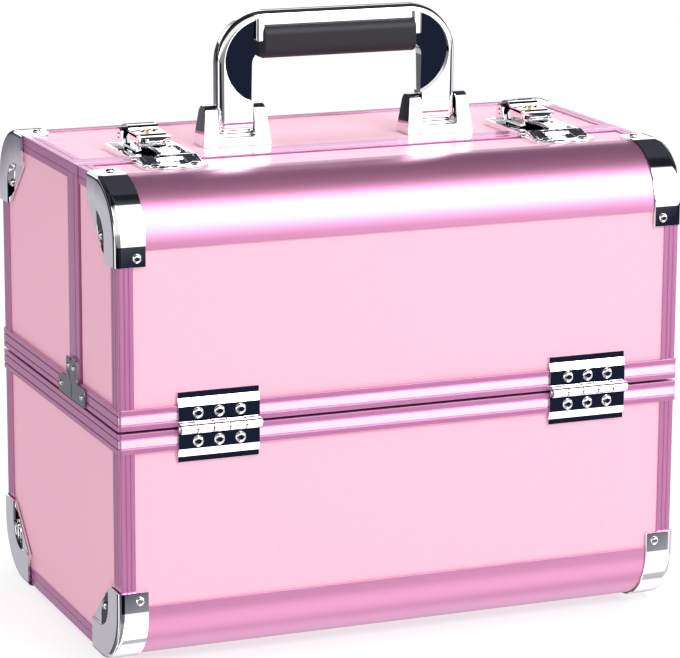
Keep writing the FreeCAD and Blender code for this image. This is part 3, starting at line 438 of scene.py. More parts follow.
def rounded(points, radii, steps=6):
    """An outline with some of its corners rounded, by a radius for each corner."""
    made = []
    for index, (corner, radius) in enumerate(zip(points, radii)):
        corner = Vector(corner)
        if not radius:
            made.append(tuple(corner))
            continue
        back = (Vector(points[index - 1]) - corner).normalized()
        ahead = (Vector(points[(index + 1) % len(points)]) - corner).normalized()
        half = back.angle(ahead) / 2
        centre = corner + (back + ahead).normalized() * radius / math.sin(half)
        start = corner + back * radius / math.tan(half) - centre
        end = corner + ahead * radius / math.tan(half) - centre
        for step in range(steps + 1):
            made.append(tuple(centre + start.lerp(end, step / steps).normalized() * radius))
    return made


def fluted(start, end, places, wide, deep, inward):
    """A straight edge from start to end with flutes at some distances from its start."""
    start, end, inward = Vector(start), Vector(end), Vector(inward)
    run = (end - start).normalized()
    points = [start]
    for place in places:
        for shift, depth in ((-0.5, 0), (-0.25, 1), (0.25, 1), (0.5, 0)):
            points.append(start + run * (place + shift * wide) + inward * deep * depth)
    return [tuple(point) for point in points + [end]]


# ---- finishes
FINISHES = {}
NOISE_RANGE = (0.3, 0.7)                            # between which most of a noise lies


def add_node(tree, kind, **inputs):
    """Adds a shader node and sets its inputs; an underscore in a name stands for a space."""
    made = tree.nodes.new("ShaderNode" + kind)
    for name, value in inputs.items():
        made.inputs[name.replace("_", " ")].default_value = value
    return made


def wire(tree, *links):
    """Links outputs to inputs, each given as (node, output, node, input)."""
    for source, output, target, socket in links:
        tree.links.new(source.outputs[output], target.inputs[socket])


def new_finish(name, tone, metallic, roughness, grain, relief, spread=0.03, rough_spread=0.06,
               **sockets):
    """A finish whose colour, roughness and relief vary with a noise stretched along the grain."""
    material = bpy.data.materials.new(name)
    material.use_nodes = True
    tree = material.node_tree
    shader = tree.nodes["Principled BSDF"]
    for socket, value in {"Metallic": metallic, **sockets}.items():
        shader.inputs[socket.replace("_", " ")].default_value = value
    place = add_node(tree, "TexCoord")
    stretch = add_node(tree, "Mapping", Scale=grain)
    noise = add_node(tree, "TexNoise", Scale=1.0, Detail=5.0)
    tint = add_node(tree, "ValToRGB")
    for stop, position, sign in zip(tint.color_ramp.elements, NOISE_RANGE, (-1, 1)):
        stop.position = position
        stop.color = [min(1, channel * (1 + sign * spread)) for channel in tone] + [1]
    dull = add_node(tree, "MapRange", From_Min=NOISE_RANGE[0], From_Max=NOISE_RANGE[1],
                    To_Min=max(0.02, roughness - rough_spread), To_Max=roughness + rough_spread)
    bump = add_node(tree, "Bump", Strength=0.6, Distance=relief * MM)
    wire(tree, (place, "Object", stretch, "Vector"), (stretch, "Vector", noise, "Vector"),
         (noise, "Fac", tint, "Fac"), (noise, "Fac", dull, "Value"), (noise, "Fac", bump, "Height"),
         (tint, "Color", shader, "Base Color"), (dull, "Result", shader, "Roughness"),
         (bump, "Normal", shader, "Normal"))
    return material


def hatched(material, pitch, depth):
    """Adds fine slanting lines to a finish, cut across its relief."""
    tree = material.node_tree
    place = next(node for node in tree.nodes if node.type == "TEX_COORD")
    bump = next(node for node in tree.nodes if node.type == "BUMP")
    lines = add_node(tree, "TexWave", Scale=1 / pitch, Distortion=0.0)
    lines.bands_direction = "DIAGONAL"
    cuts = add_node(tree, "Bump", Strength=0.7, Distance=depth)
    wire(tree, (place, "Object", lines, "Vector"), (lines, "Fac", cuts, "Height"),
         (cuts, "Normal", bump, "Normal"))
    return material


class CASE_OT_finishes(bpy.types.Operator):
    """Make the laminate, anodised, plated and moulded finishes"""
    bl_idname = "case.finishes"
    bl_label = "Finishes"

    def execute(self, context):
        tones = context.scene.case_colours
        fine, brushed, long = 1 / (0.5 * MM), 1 / (0.25 * MM), 1 / (60 * MM)
        grains = (long, brushed, brushed), (brushed, long, brushed), (brushed, brushed, long)
        # name, title, tone, metallic, roughness, grain, relief in millimetres, other settings
        rows = [("board", "Pink laminate", tones.board, 0, 0.36, (260,) * 3, 0.02,
                 {"spread": 0.012, "Specular_IOR_Level": 0.32}),
                ("curve", "Pink anodised curve", tones.edging, 0.82, 0.4, grains[0], 0.004,
                 {"rough_spread": 0.03, "Coat_Weight": 0.35, "Coat_Roughness": 0.2})]
        rows += [(f"edging_{axis}", f"Pink anodised edging_{axis}", tones.trim, 0.55, 0.24, grain,
                  0.004, {"rough_spread": 0.03, "Coat_Weight": 0.1, "Coat_Roughness": 0.12})
                 for axis, grain in zip("xyz", grains)]
        rows += [("bright_band", "Bright cut band", tones.bright_band, 1, 0.42, (fine,) * 3, 0.01,
                  {}),
                 ("chrome", "Chrome", tones.chrome, 1, 0.03, (90,) * 3, 0.001,
                  {"spread": 0.01, "rough_spread": 0.01}),
                 ("steel", "Brushed steel", tones.steel, 1, 0.34, (brushed, brushed, 90), 0.01, {}),
                 ("brass", "Brass", tones.brass, 1, 0.2, (900,) * 3, 0.01, {}),
                 ("rubber", "Black moulding", tones.grip, 0, 0.42, (fine,) * 3, 0.02,
                  {"spread": 0.1, "Specular_IOR_Level": 0.18}),
                 ("tray", "Tray moulding", tones.tray, 0, 0.42, (1500,) * 3, 0.03,
                  {"spread": 0.08}),
                 ("lining", "Foam lining", tones.lining, 0, 0.85, (2500,) * 3, 0.08,
                  {"spread": 0.15})]
        for name, *settings, others in rows:
            FINISHES[name] = new_finish(*settings, **others)
        hatched(FINISHES["bright_band"], 1.6 * MM, 0.03 * MM)
        return {"FINISHED"}


# ---- boards and lining
def board_heights(up):
    """Where a shell's upright boards begin and end, between its rail and its curved profile."""
    if up < 0:
        return BOTTOM + REACH, BASE_RIM - RAIL_HIGH
    return LID_RIM + RAIL_HIGH, TOP - REACH


def depths(body, half, gap=0.0, seam=SEAM_BACK):
    """Front and back ends of a piece of a shell: a half depth each way, or its open side."""
    start = seam if body == "rear_lid" else -half
    return start, FRONT_SEAM - gap if body == "front_lid" else half


class CASE_OT_boards(bpy.types.Operator):
    """Finish the boards and line them inside"""
    bl_idname = "case.boards"
    bl_label = "Boards and lining"

    def execute(self, context):
        sizes = context.scene.case_sizes
        for name, node in frame["nodes"].items():
            if name.endswith("_panel"):
                node.data.materials.clear()
                node.data.materials.append(FINISHES["board"])
        gap, thick = MM, sizes.lining
        inner_x, inner_y = HALF_W - WALL + LEAF, HALF_D - WALL + LEAF
        face_end = HALF_W - sizes.trim_face - gap
        under = TOP - LEAF - BOARD
        for body, (up, sides) in BODIES.items():
            low, high = board_heights(up)
            end_low, end_high = low, TOP - sizes.end_trim - gap
            if up < 0:
                end_low, end_high = BOTTOM + sizes.end_trim + gap, high
            start, stop = depths(body, inner_y - sizes.trim_side, gap)
            sheets = [block("lining", (sign * inner_x, start, end_low),
                            (sign * (inner_x - thick), stop, end_high)) for sign in ENDS]
            sheets += [block("lining", (-face_end, sign * inner_y, low),
                             (face_end, sign * (inner_y - thick), high)) for sign in sides]
            if up > 0:
                start, stop = depths(body, HALF_D - REACH, gap)
                sheets.append(block("lining", (-face_end, start, under),
                                    (face_end, stop, under - thick)))
            lining = joined(f"{body}_lining", sheets)
            smooth(round_edges(lining, thick * 0.4, 2, lambda e: True))
            lining.data.materials.append(FINISHES["lining"])
            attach(lining, body)
        return {"FINISHED"}


# ---- extruded edging
def curve_section(sizes):
    """Outline of a curved profile: distances inwards from the face and from the top or bottom."""
    radius, wall = sizes.edge_radius, sizes.curve_wall
    stop = radius - 1.5 * MM
    centre = (radius, radius)
    slip = math.degrees(math.asin((radius - stop) / (radius - wall)))
    flat = [(REACH, LEAF), (radius, LEAF), (radius, LEAF + BOARD), (REACH, LEAF + BOARD),
            (REACH, WALL), (stop, WALL)]
    outside = [(0, REACH)] + arc(centre, radius, 180, 270) + [(REACH, 0)]
    inside = arc(centre, radius - wall, 270 - slip, 180 + slip)
    return outside + flat + inside + [(v, u) for u, v in reversed(flat)]


class CASE_OT_curved_profiles(bpy.types.Operator):
    """Model the curved profiles along the long edges"""
    bl_idname = "case.curved_profiles"
    bl_label = "Curved profiles"

    def execute(self, context):
        section = curve_section(context.scene.case_sizes)
        half = HALF_W - LEAF
        for node, side, up in (("base_front_curve", -1, -1), ("base_rear_curve", 1, -1),
                               ("front_lid_curve", -1, 1), ("rear_lid_curve", 1, 1)):
            height = TOP if up > 0 else BOTTOM
            outline = [(side * (HALF_D - u), height - up * v) for u, v in section]
            piece = length_of(node + "d_profile", outline, -half, half)
            finish(soften(piece, 0.15 * MM), "curve", node, angle=20)
        return {"FINISHED"}


def trim_section(sizes, over, down, round_off, over_flutes, down_flutes):
    """Outline of a trim where an end board meets another: distances inwards from both faces."""
    flute, centre = (sizes.flute, sizes.flute_depth), (round_off, round_off)
    across = fluted((over, 0), (round_off, 0), over_flutes, *flute, (0, 1))
    bend = arc(centre, round_off, 270, 180, 5)[1:-1]
    end_leg = fluted((0, round_off), (0, down), down_flutes, *flute, (1, 0))
    grips = [(LEAF, down), (LEAF, WALL), (LEAF + BOARD, WALL), (LEAF + BOARD, down), (WALL, down),
             (WALL, WALL), (over, WALL), (over, LEAF + BOARD), (WALL, LEAF + BOARD), (WALL, LEAF),
             (over, LEAF)]
    return across + bend + end_leg + grips


class CASE_OT_trims(bpy.types.Operator):
    """Model the upright trims and the trims along the ends"""
    bl_idname = "case.trims"
    bl_label = "Corner and end trims"

    def execute(self, context):
        sizes = context.scene.case_sizes
        face, side_leg, corner_round = sizes.trim_face, sizes.trim_side, 1.0 * MM
        upright = trim_section(sizes, face, side_leg, corner_round,
                               [face / 3 - corner_round * 0.2, face * 0.62],
                               [side_leg * 0.32, side_leg * 0.66])
        level = trim_section(sizes, sizes.end_turn, sizes.end_trim, 0.8 * MM,
                             [sizes.end_turn * 0.45], [sizes.end_trim * 0.5])
        for body, (up, sides) in BODIES.items():
            low, high = board_heights(up)
            start, stop = depths(body, HALF_D - REACH)
            height = TOP if up > 0 else BOTTOM
            posts = [prism("upright_trim", [(end * (HALF_W - a), side * (HALF_D - b), low)
                                            for a, b in upright], Z_AXIS * (high - low))
                     for end in ENDS for side in sides]
            runs = [prism("end_trim", [(end * (HALF_W - a), start, height - up * b)
                                       for a, b in level], Y_AXIS * (stop - start)) for end in ENDS]
            for name, pieces, axis in (("corner", posts, "z"), ("end", runs, "y")):
                made = soften(joined(f"{body}_{name}_trims", pieces), 0.12 * MM)
                finish(made, f"edging_{axis}", f"{body}_edge_trims", angle=25)
        return {"FINISHED"}


class CASE_OT_rails(bpy.types.Operator):
    """Model the rails round the rims with their bright band and grooves"""
    bl_idname = "case.rails"
    bl_label = "Rails"

    def execute(self, context):
        sizes = context.scene.case_sizes
        groove, half = sizes.rail_groove, sizes.rail_rib / 2
        inner_x, inner_y = HALF_W - WALL, HALF_D - WALL
        past = 5 * MM                               # the hollow's reach past a lid's open side
        skin_deep = 3 * MM                          # outer faces lie no deeper than this
        for body in BODIES:
            low = BASE_RIM - RAIL_HIGH if body == "base" else LID_RIM
            high = low + RAIL_HIGH
            centre = (low + high) / 2
            start, stop = depths(body, RAIL_Y, seam=REAR_SEAM)
            ring = block("ring", (-RAIL_X, start, low), (RAIL_X, stop, high))
            round_edges(ring, 2 * MM, 5,
                        lambda e: along(e, Z_AXIS) and abs(middle(e).y) > RAIL_Y - MM)
            start, stop = depths(body, inner_y, -past, REAR_SEAM - past)
            cut(ring, block("hollow", (-inner_x, start, low - MM), (inner_x, stop, high + MM)))

            def off_middle(face):
                return abs(face.calc_center_median().z - centre)

            def outer(face):
                at = face.calc_center_median()
                at_end = abs(at.x) > RAIL_X - skin_deep and abs(face.normal.x) > 0.1
                at_face = abs(at.y) > RAIL_Y - skin_deep and abs(face.normal.y) > 0.1
                return (at_end or at_face) and abs(face.normal.z) < 0.1

            with shaping(ring):
                for edge in (-half - groove, -half, half, half + groove):
                    pick("faces", outer)
                    bpy.ops.mesh.bisect(plane_co=(0, 0, centre + edge), plane_no=Z_AXIS)
                pick("faces", lambda f: outer(f) and half < off_middle(f) < half + groove)
                sink = {"value": -groove}
                bpy.ops.mesh.extrude_region_shrink_fatten(TRANSFORM_OT_shrink_fatten=sink)
            for material in ("edging_y", "bright_band"):
                ring.data.materials.append(FINISHES[material])
            soften(ring, 0.22 * MM)
            with shaping(ring):
                pick("faces", lambda f: outer(f) and off_middle(f) < half - 0.05 * MM
                     and abs(f.normal.y) > 0.5)
                ring.active_material_index = 1
                bpy.ops.object.material_slot_assign()
            ring.name = ring.data.name = f"{body}_rim_rails"
            finish(ring, None, f"{body}_rails", angle=30)
        return {"FINISHED"}


class CASE_OT_seam_frame(bpy.types.Operator):
    """Model the frame round the rear lid's open side"""
    bl_idname = "case.seam_frame"
    bl_label = "Seam frame"

    def execute(self, context):
        sizes = context.scene.case_sizes
        line = REAR_SEAM + SEAM_WIDE / 3
        flute = (line, line + sizes.flute, sizes.flute_depth)
        foot, under = LID_RIM + RAIL_HIGH, TOP - WALL
        head = block("rear_lid_seam_head", (-HALF_W, REAR_SEAM, under), (HALF_W, SEAM_BACK, TOP))
        cut_flute(head, Z_AXIS, *flute)
        posts = []
        for end in ENDS:
            post = block("seam_post", (end * (HALF_W - WALL), REAR_SEAM, foot),
                         (end * HALF_W, SEAM_BACK, under))
            posts.append(cut_flute(post, X_AXIS * end, *flute))
        posts = joined("rear_lid_seam_posts", posts)
        finish(soften(posts, 0.2 * MM), "edging_z", "rear_lid_seam_frame")
        finish(soften(head, 0.3 * MM), "edging_x", "rear_lid_seam_frame")
        return {"FINISHED"}


# ---- corner caps and rivets
def placed_corners(body):
    """Matrices from the front top right corner to the corners of a shell."""
    up, sides = BODIES[body]
    found = []
    for side in sides:
        for end in ENDS:
            matrix = mirror(X_AXIS) if end < 0 else Matrix.Identity(4)
            if side > 0:
                matrix = mirror(Y_AXIS) @ matrix
            if up < 0:
                matrix = mirror(Z_AXIS, (TOP + BOTTOM) / 2) @ matrix
            found.append(matrix)
    return found


def corner_cap(sizes):
    """Front top right cap: a strap bent over the edge, a raised band and a flat wing."""
    radius, wall, strap = sizes.edge_radius, sizes.cap_wall, sizes.cap_strap
    skin, proud, inner = radius + wall, wall + sizes.cap_raise, radius - sizes.cap_rim
    lap, ring = 0.8 * MM, 0.5 * MM                  # how far the strap lies in, and its end rings
    low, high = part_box("front_lid_corner_caps")
    foot, back = low.z, high.y
    centre = Vector((0, -HALF_D + radius, TOP - radius))
    section = [(strap, radius - lap)] + offsets((strap, skin), (0, -0.5), (-0.4, 0))
    section += offsets((0, skin), (2, 0), (0.2, -0.15), (-0.9, -0.7), (-1.7, -1.6))
    section += offsets((-proud, skin), (0, -3)) + offsets((-proud, inner), (0, 1.2), (0.25, 0.4))
    section += [(-wall, inner), (LEAF, inner), (LEAF, radius - lap)]
    band = drawn("cap_band", [(HALF_W - a, centre.y - r, foot) for a, r in section])
    with shaping(band, everything=True):
        for rise in (ring, centre.z - foot - 2 * ring, ring):
            push((0, 0, rise))
        bpy.ops.mesh.spin(steps=28, angle=math.pi / 2, center=centre, axis=(1, 0, 0))
        push((0, back - centre.y, 0))
    outward(band)
    edge = HALF_W - strap
    round_edges(band, 4 * MM, 6, lambda e: abs(middle(e).x - edge) < NEAR and
                (along(e, Y_AXIS) and middle(e).z < foot + NEAR or
                 along(e, Z_AXIS) and middle(e).y > back - NEAR))
    soften(band, 0.2 * MM, angle=50)

    shoulder, turn, bulge = 18 * MM, 5 * MM, 0.04   # of the wing's slanting side
    half_wall = wall * 0.5
    outline = rounded([(-HALF_D - half_wall, foot), (-HALF_D + shoulder, foot),
                       (back, TOP - shoulder), (back, TOP + half_wall)], (0, turn, turn, 0))
    run = back + HALF_D - shoulder
    for index, (y, z) in enumerate(outline):
        share = (y + HALF_D - shoulder) / run
        if 0 < share < 1:
            lift = 4 * share * (1 - share) * run * bulge
            outline[index] = (y + lift, z - lift)
    outline += arc((centre.y, centre.z), radius + half_wall, 90, 180, 24)[1:-1]
    wing = length_of("cap_wing", outline, HALF_W - LEAF * 0.5, HALF_W + wall)
    soften(wing, 0.35 * MM)
    floor = arc((centre.y, centre.z), inner, 90, 180, 10)
    floor += offsets((-HALF_D, TOP), (19, -42.5), (24.5, -40), (29.5, -36), (32.4, -31),
                     (33.2, -26))
    slope, lip = math.tan(sizes.recess_lean), -HALF_D + 34 * MM
    dip = [(HALF_W + wall - 0.1 * MM - slope * (lip - y), y, z) for y, z in floor]
    cut(wing, prism("recess", dip, X_AXIS * 3 * MM))
    return smooth(joined("cap", [band, wing]), 30)


class CASE_OT_corner_caps(bpy.types.Operator):
    """Model the chrome corner caps"""
    bl_idname = "case.corner_caps"
    bl_label = "Corner caps"

    def execute(self, context):
        cap = corner_cap(context.scene.case_sizes)
        for body in BODIES:
            copies = [copy_of(cap, "cap_copy", matrix) for matrix in placed_corners(body)]
            made = joined(f"{body}_chrome_corners", copies)
            finish(made, "chrome", f"{body}_corner_caps", angle=30)
        bpy.data.objects.remove(cap)
        return {"FINISHED"}


def rivet_head(radius, height, flat_share, slotted):
    """A domed head with a flat middle, its underside at the origin and its dome up."""
    ball = (radius ** 2 + height ** 2) / (2 * height)
    spread = math.degrees(math.asin(radius * 0.97 / ball))
    shank, sunk, brim = radius * 0.8, 0.6 * MM, 0.12 * MM
    flat = radius * flat_share
    profile = [(0, -sunk), (shank, -sunk), (shank, 0), (radius, 0), (radius, brim)]
    profile += [(flat + r * (1 - flat_share), z + height - ball)
                for r, z in arc((0, 0), ball, 90 - spread, 90, 8)]
    profile += [(flat * 0.85, height), (0, height)]
    head = turned("head", profile, (0, 0, 0), Z_AXIS)
    if slotted:
        arm, half_slot, deep = radius * 0.55, 0.55 * MM / 2, height * 0.45
        for x, y in ((arm, half_slot), (half_slot, arm)):
            cut(head, block("cross", (-x, -y, height - deep), (x, y, height + MM)))
    return head


def tray_stud(low, high):
    """A stepped stud from an end wall inwards, with a head that keeps a bar on it."""
    outwards = 1 if high.x > 0 else -1
    wall = high.x if outwards > 0 else low.x
    centre, radius, length = (low + high) / 2, (high.z - low.z) / 2, high.x - low.x
    neck, head = radius * 0.62, length - 1.1 * MM
    profile = [(0, 0), (radius, 0), (radius, length * 0.3), (neck, length * 0.3), (neck, head),
               (radius, head + 0.1 * MM), (radius, length - 0.35 * MM), (radius * 0.8, length),
               (0, length)]
    return turned("stud", profile, (wall, centre.y, centre.z), X_AXIS * -outwards, 24)


class CASE_OT_rivets(bpy.types.Operator):
    """Model the rivets, screws and studs where the frame has them"""
    bl_idname = "case.rivets"
    bl_label = "Rivets, screws and studs"

    def execute(self, context):
        flat_share = context.scene.case_sizes.rivet_flat
        longest_head, screw_radius = 2 * MM, 2.9 * MM
        hinge_reach, hinge_share = 12 * MM, 1.28    # heads on the front hinges are a little wider
        patterns = {}
        for body in BODIES:
            heads, studs = [], []
            for low, high in solids_in(f"{body}_rivets"):
                extent, centre = high - low, (low + high) / 2
                thin = min(range(3), key=lambda axis: extent[axis])
                radius, height = max(extent) / 2, extent[thin]
                if height > longest_head:
                    studs.append(tray_stud(low, high))
                    continue
                screw = radius > screw_radius and thin == 2
                if thin == 1 and abs(centre.z - SPLIT) < hinge_reach:
                    radius *= hinge_share
                key = (round(radius * 1e5), screw)
                if key not in patterns:
                    patterns[key] = rivet_head(radius, height, flat_share, screw)
                outwards = Vector((0, 0, 0))
                outwards[thin] = 1 if centre[thin] > (SPLIT if thin == 2 else 0) else -1
                turn = outwards.to_track_quat("Z", "Y").to_matrix().to_4x4()
                foot = Matrix.Translation(centre - outwards * height / 2)
                heads.append(copy_of(patterns[key], "head_copy", foot @ turn))
            finish(joined(f"{body}_rivet_heads", heads), "chrome", f"{body}_rivets", angle=50)
            if studs:
                finish(joined(f"{body}_studs", studs), "steel", f"{body}_rivets")
        for pattern in patterns.values():
            bpy.data.objects.remove(pattern)
        return {"FINISHED"}


# ---- hinges
def hinge_leaf(sizes, upper, width, knuckles=5):
    """One leaf of a front hinge at x 0, with its share of the knuckles; z is from the axis."""
    plate, gap = sizes.hinge_plate, sizes.knuckle_gap
    barrel, bore = 3.0 * MM, 1.58 * MM
    axis_y = -HALF_D - 4.3 * MM
    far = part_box("front_lid_hinge_leaves")[1].z - SPLIT
    seat, out, step_out = -HALF_D + LEAF, -RAIL_Y - plate, -HALF_D + LEAF - 1.6 * MM
    near, ramp, ramp_end = barrel + gap, 12.4 * MM, 17.0 * MM
    chamfer, bend = 0.3 * MM, 0.8 * MM

    def slab(name, outline, start, end):
        return length_of(name, [(y, SPLIT + (z if upper else -z)) for y, z in outline], start, end)

    half, pitch = width / 2, width / knuckles
    leaf = slab("leaf", [(out, near), (out, ramp), (step_out, ramp_end), (step_out, far - chamfer),
                         (step_out + chamfer, far), (seat, far), (seat, ramp_end + bend),
                         (-RAIL_Y + 0.02 * MM, ramp + bend), (out + plate, near)], -half, half)
    pieces = [soften(leaf, 0.12 * MM, angle=60)]
    for index in range(1 if upper else 0, knuckles, 2):
        start = -half + index * pitch + gap / 2
        end = start + pitch - gap
        tube = rod("knuckle", (start, axis_y, SPLIT), (end, axis_y, SPLIT), barrel)
        cut(tube, rod("bore", (start - MM, axis_y, SPLIT), (end + MM, axis_y, SPLIT), bore))
        neck = [(out, 0), (out, near + MM), (out + plate, near + MM), (out + plate, 0)]
        pieces += [soften(tube, 0.3 * MM), slab("neck", neck, start, end)]
    return joined("leaf", pieces)


class CASE_OT_hinges(bpy.types.Operator):
    """Model the hinge leaves, knuckles and pins"""
    bl_idname = "case.hinges"
    bl_label = "Hinges"

    def execute(self, context):
        sizes = context.scene.case_sizes
        solids = solids_in("front_lid_hinge_leaves")
        places = sorted({round((low.x + high.x) / 2, 5) for low, high in solids})
        width = solids[0][1].x - solids[0][0].x
        upper, lower = (hinge_leaf(sizes, is_upper, width) for is_upper in (True, False))
        front, back = Matrix.Identity(4), mirror(Y_AXIS)
        for node, leaf, sides in (("front_lid_hinge_leaves", upper, [front]),
                                  ("rear_lid_hinge_leaves", upper, [back]),
                                  ("base_hinge_leaves", lower, [front, back])):
            copies = [copy_of(leaf, "leaf_copy", Matrix.Translation((x, 0, 0)) @ side)
                      for x in places for side in sides]
            finish(joined(node.replace("leaves", "plates"), copies), "chrome", node, angle=14)
        pins = []
        for low, high in solids_in("hinge_pins"):
            radius = (high.z - low.z) / 2
            start = (low.x, (low.y + high.y) / 2, (low.z + high.z) / 2)
            pins.append(turned_pin("pin", start, high.x - low.x, radius, radius * 0.7, 0.4 * MM))
        finish(joined("hinge_pin_rods", pins), "steel", "hinge_pins")
        for leaf in (upper, lower):
            bpy.data.objects.remove(leaf)
        return {"FINISHED"}


# ---- handle
class CASE_OT_handle(bpy.types.Operator):
    """Model the handle's frame and its grip"""
    bl_idname = "case.handle"
    bl_label = "Handle"

    def execute(self, context):
        sizes = context.scene.case_sizes
        low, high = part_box("handle_frame")
        grip_low, grip_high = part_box("handle_grip")
        thick, out_x, top, under, grip_end = high.y, high.x, high.z, grip_low.z, grip_high.x
        pivot = low.z + (high.y - low.y) / 2
        bracket = next(box for box in solids_in("handle_brackets") if box[1].x > 0)
        in_x = out_x - 2 * (out_x - (bracket[0].x + bracket[1].x) / 2)
        crown_r, band = 30 * MM, sizes.handle_rim + 0.2 * MM
        crown_x, crown_z = out_x - crown_r, top - crown_r
        bow = offsets((out_x, pivot), (-4.5, 38.5), (-4.7, 34.5), (-5.8, 30), (-8, 25),
                      (-11.5, 20.3), (-15.5, 16.8), (-19.5, 14.4))

        def within(margin):
            """The inner line of the crown, from the grip to the bow."""
            return arc((crown_x, crown_z), crown_r - band + margin, 84, 8, 12)

        half = arc((crown_x, crown_z), crown_r, 90, 0, 14) + [(out_x, low.z), (in_x, low.z)]
        half += [(in_x, pivot + 13.5 * MM)] + bow[::-1] + within(0)[::-1]
        half += [(grip_end, grip_high.z)]
        outline = half + [(-x, z) for x, z in reversed(half)]
        arch = prism("handle_arch", [(x, -thick, z) for x, z in outline], Y_AXIS * 2 * thick)
        round_edges(arch, thick * 0.98, 8,
                    lambda e: along(e, X_AXIS) and middle(e).z < low.z + NEAR)

        def outer_rim(edge):
            at = middle(edge)
            past = Vector((abs(at.x) - crown_x, at.z - crown_z))
            skirt = abs(at.x) > out_x - NEAR or at.z > top - NEAR
            corner = past.length > crown_r - 0.3 * MM and past.x > 0 and past.y > 0
            return (skirt or corner) and abs(at.y) > NEAR and not along(edge, Y_AXIS)

        round_edges(arch, sizes.handle_rim, 8, outer_rim)
        parts = [soften(arch, 0.4 * MM, segments=3, angle=40)]
        # pockets in the arms: a web whose floors lean, with a round mouth at the grip
        slope, sunk = math.tan(sizes.pocket_lean), 0.4 * MM - thick
        web_line = within(MM) + [(x + MM, z - MM) for x, z in bow]
        web_line += [(in_x + 0.05 * MM, pivot + 12.5 * MM)]
        web_line += [(grip_end + (in_x - grip_end) * math.cos(t),
                      under - 3.5 * MM + 7.5 * MM * math.sin(t))
                     for t in (math.radians(15 * step) for step in range(7))]
        web_line += [(grip_end, top - band)]
        collar_in, collar_end = grip_end - 0.4 * MM, grip_end + 4.6 * MM
        collar_out = thick + 2.2 * MM
        for end in ENDS:
            web = drawn("web", [(end * x, slope * (top - z) + sunk, z) for x, z in web_line])
            with shaping(web, everything=True):
                push((0, 0, 0))
                bpy.ops.transform.resize(value=(1, -1, 1), center_override=(0, 0, 0))
            collar = block("collar", (end * collar_in, -collar_out, under + 10.5 * MM),
                           (end * collar_end, collar_out, top - band + 0.6 * MM))
            round_edges(collar, 1.6 * MM, 4, lambda e: not along(e, Y_AXIS) and
                        middle(e).x * end > grip_end + 4 * MM or
                        along(e, Y_AXIS) and middle(e).z < under + 11 * MM)
            parts += [outward(web), soften(outward(collar), 0.3 * MM, angle=40)]
        finish(joined("handle_arch", parts), "chrome", "handle_frame", angle=30)
        grip = block("handle_moulded_grip", grip_low, grip_high)
        round_edges(grip, sizes.grip_edge, 8, lambda e: along(e, X_AXIS))
        finish(soften(grip, 0.5 * MM, segments=3), "rubber", "handle_grip")
        return {"FINISHED"}


class CASE_OT_brackets(bpy.types.Operator):
    """Model the brackets that carry the handle, and their pins"""
    bl_idname = "case.brackets"
    bl_label = "Handle brackets"

    def execute(self, context):
        solids = solids_in("handle_brackets")
        deepest_pin = 10 * MM
        brackets = [box for box in solids if box[1].y - box[0].y > deepest_pin]
        pins = [box for box in solids if box[1].y - box[0].y < deepest_pin]
        low, high = max(brackets, key=lambda box: box[0].x)
        centre = (low.x + high.x) / 2
        half, depth = (high.x - low.x) / 2, (high.y - low.y) / 2
        half_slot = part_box("handle_frame")[1].x - centre + 0.35 * MM
        top_half, top_depth, floor = half - 2.75 * MM, 5.6 * MM, low.z + 5 * MM
        body = block("bracket", (-half, -depth, low.z), (half, depth, high.z))
        with shaping(body, "VERT"):
            pick("verts", lambda v: v.co.z > high.z - NEAR)
            bpy.ops.transform.resize(value=(top_half / half, top_depth / depth, 1),
                                     center_override=(0, 0, high.z))
        round_edges(body, 4.6 * MM, 7, lambda e: along(e, X_AXIS) and middle(e).z > high.z - NEAR)
        slot = block("slot", (-half_slot, -2 * depth, floor), (half_slot, 2 * depth, high.z + MM))
        round_edges(slot, 1.5 * MM, 4, lambda e: along(e, Y_AXIS) and middle(e).z < floor + NEAR)
        soften(cut(body, slot), 0.45 * MM, segments=3)
        copies = [copy_of(body, "bracket_copy", Matrix.Translation((sign * centre, 0, 0)))
                  for sign in ENDS]
        for low, high in pins:
            y, z = (low.y + high.y) / 2, (low.z + high.z) / 2
            copies.append(rod("pin", (low.x + MM, y, z), (high.x - MM, y, z), (high.z - low.z) / 2))
        bpy.data.objects.remove(body)
        finish(joined("handle_clevis_brackets", copies), "chrome", "handle_brackets")
        return {"FINISHED"}


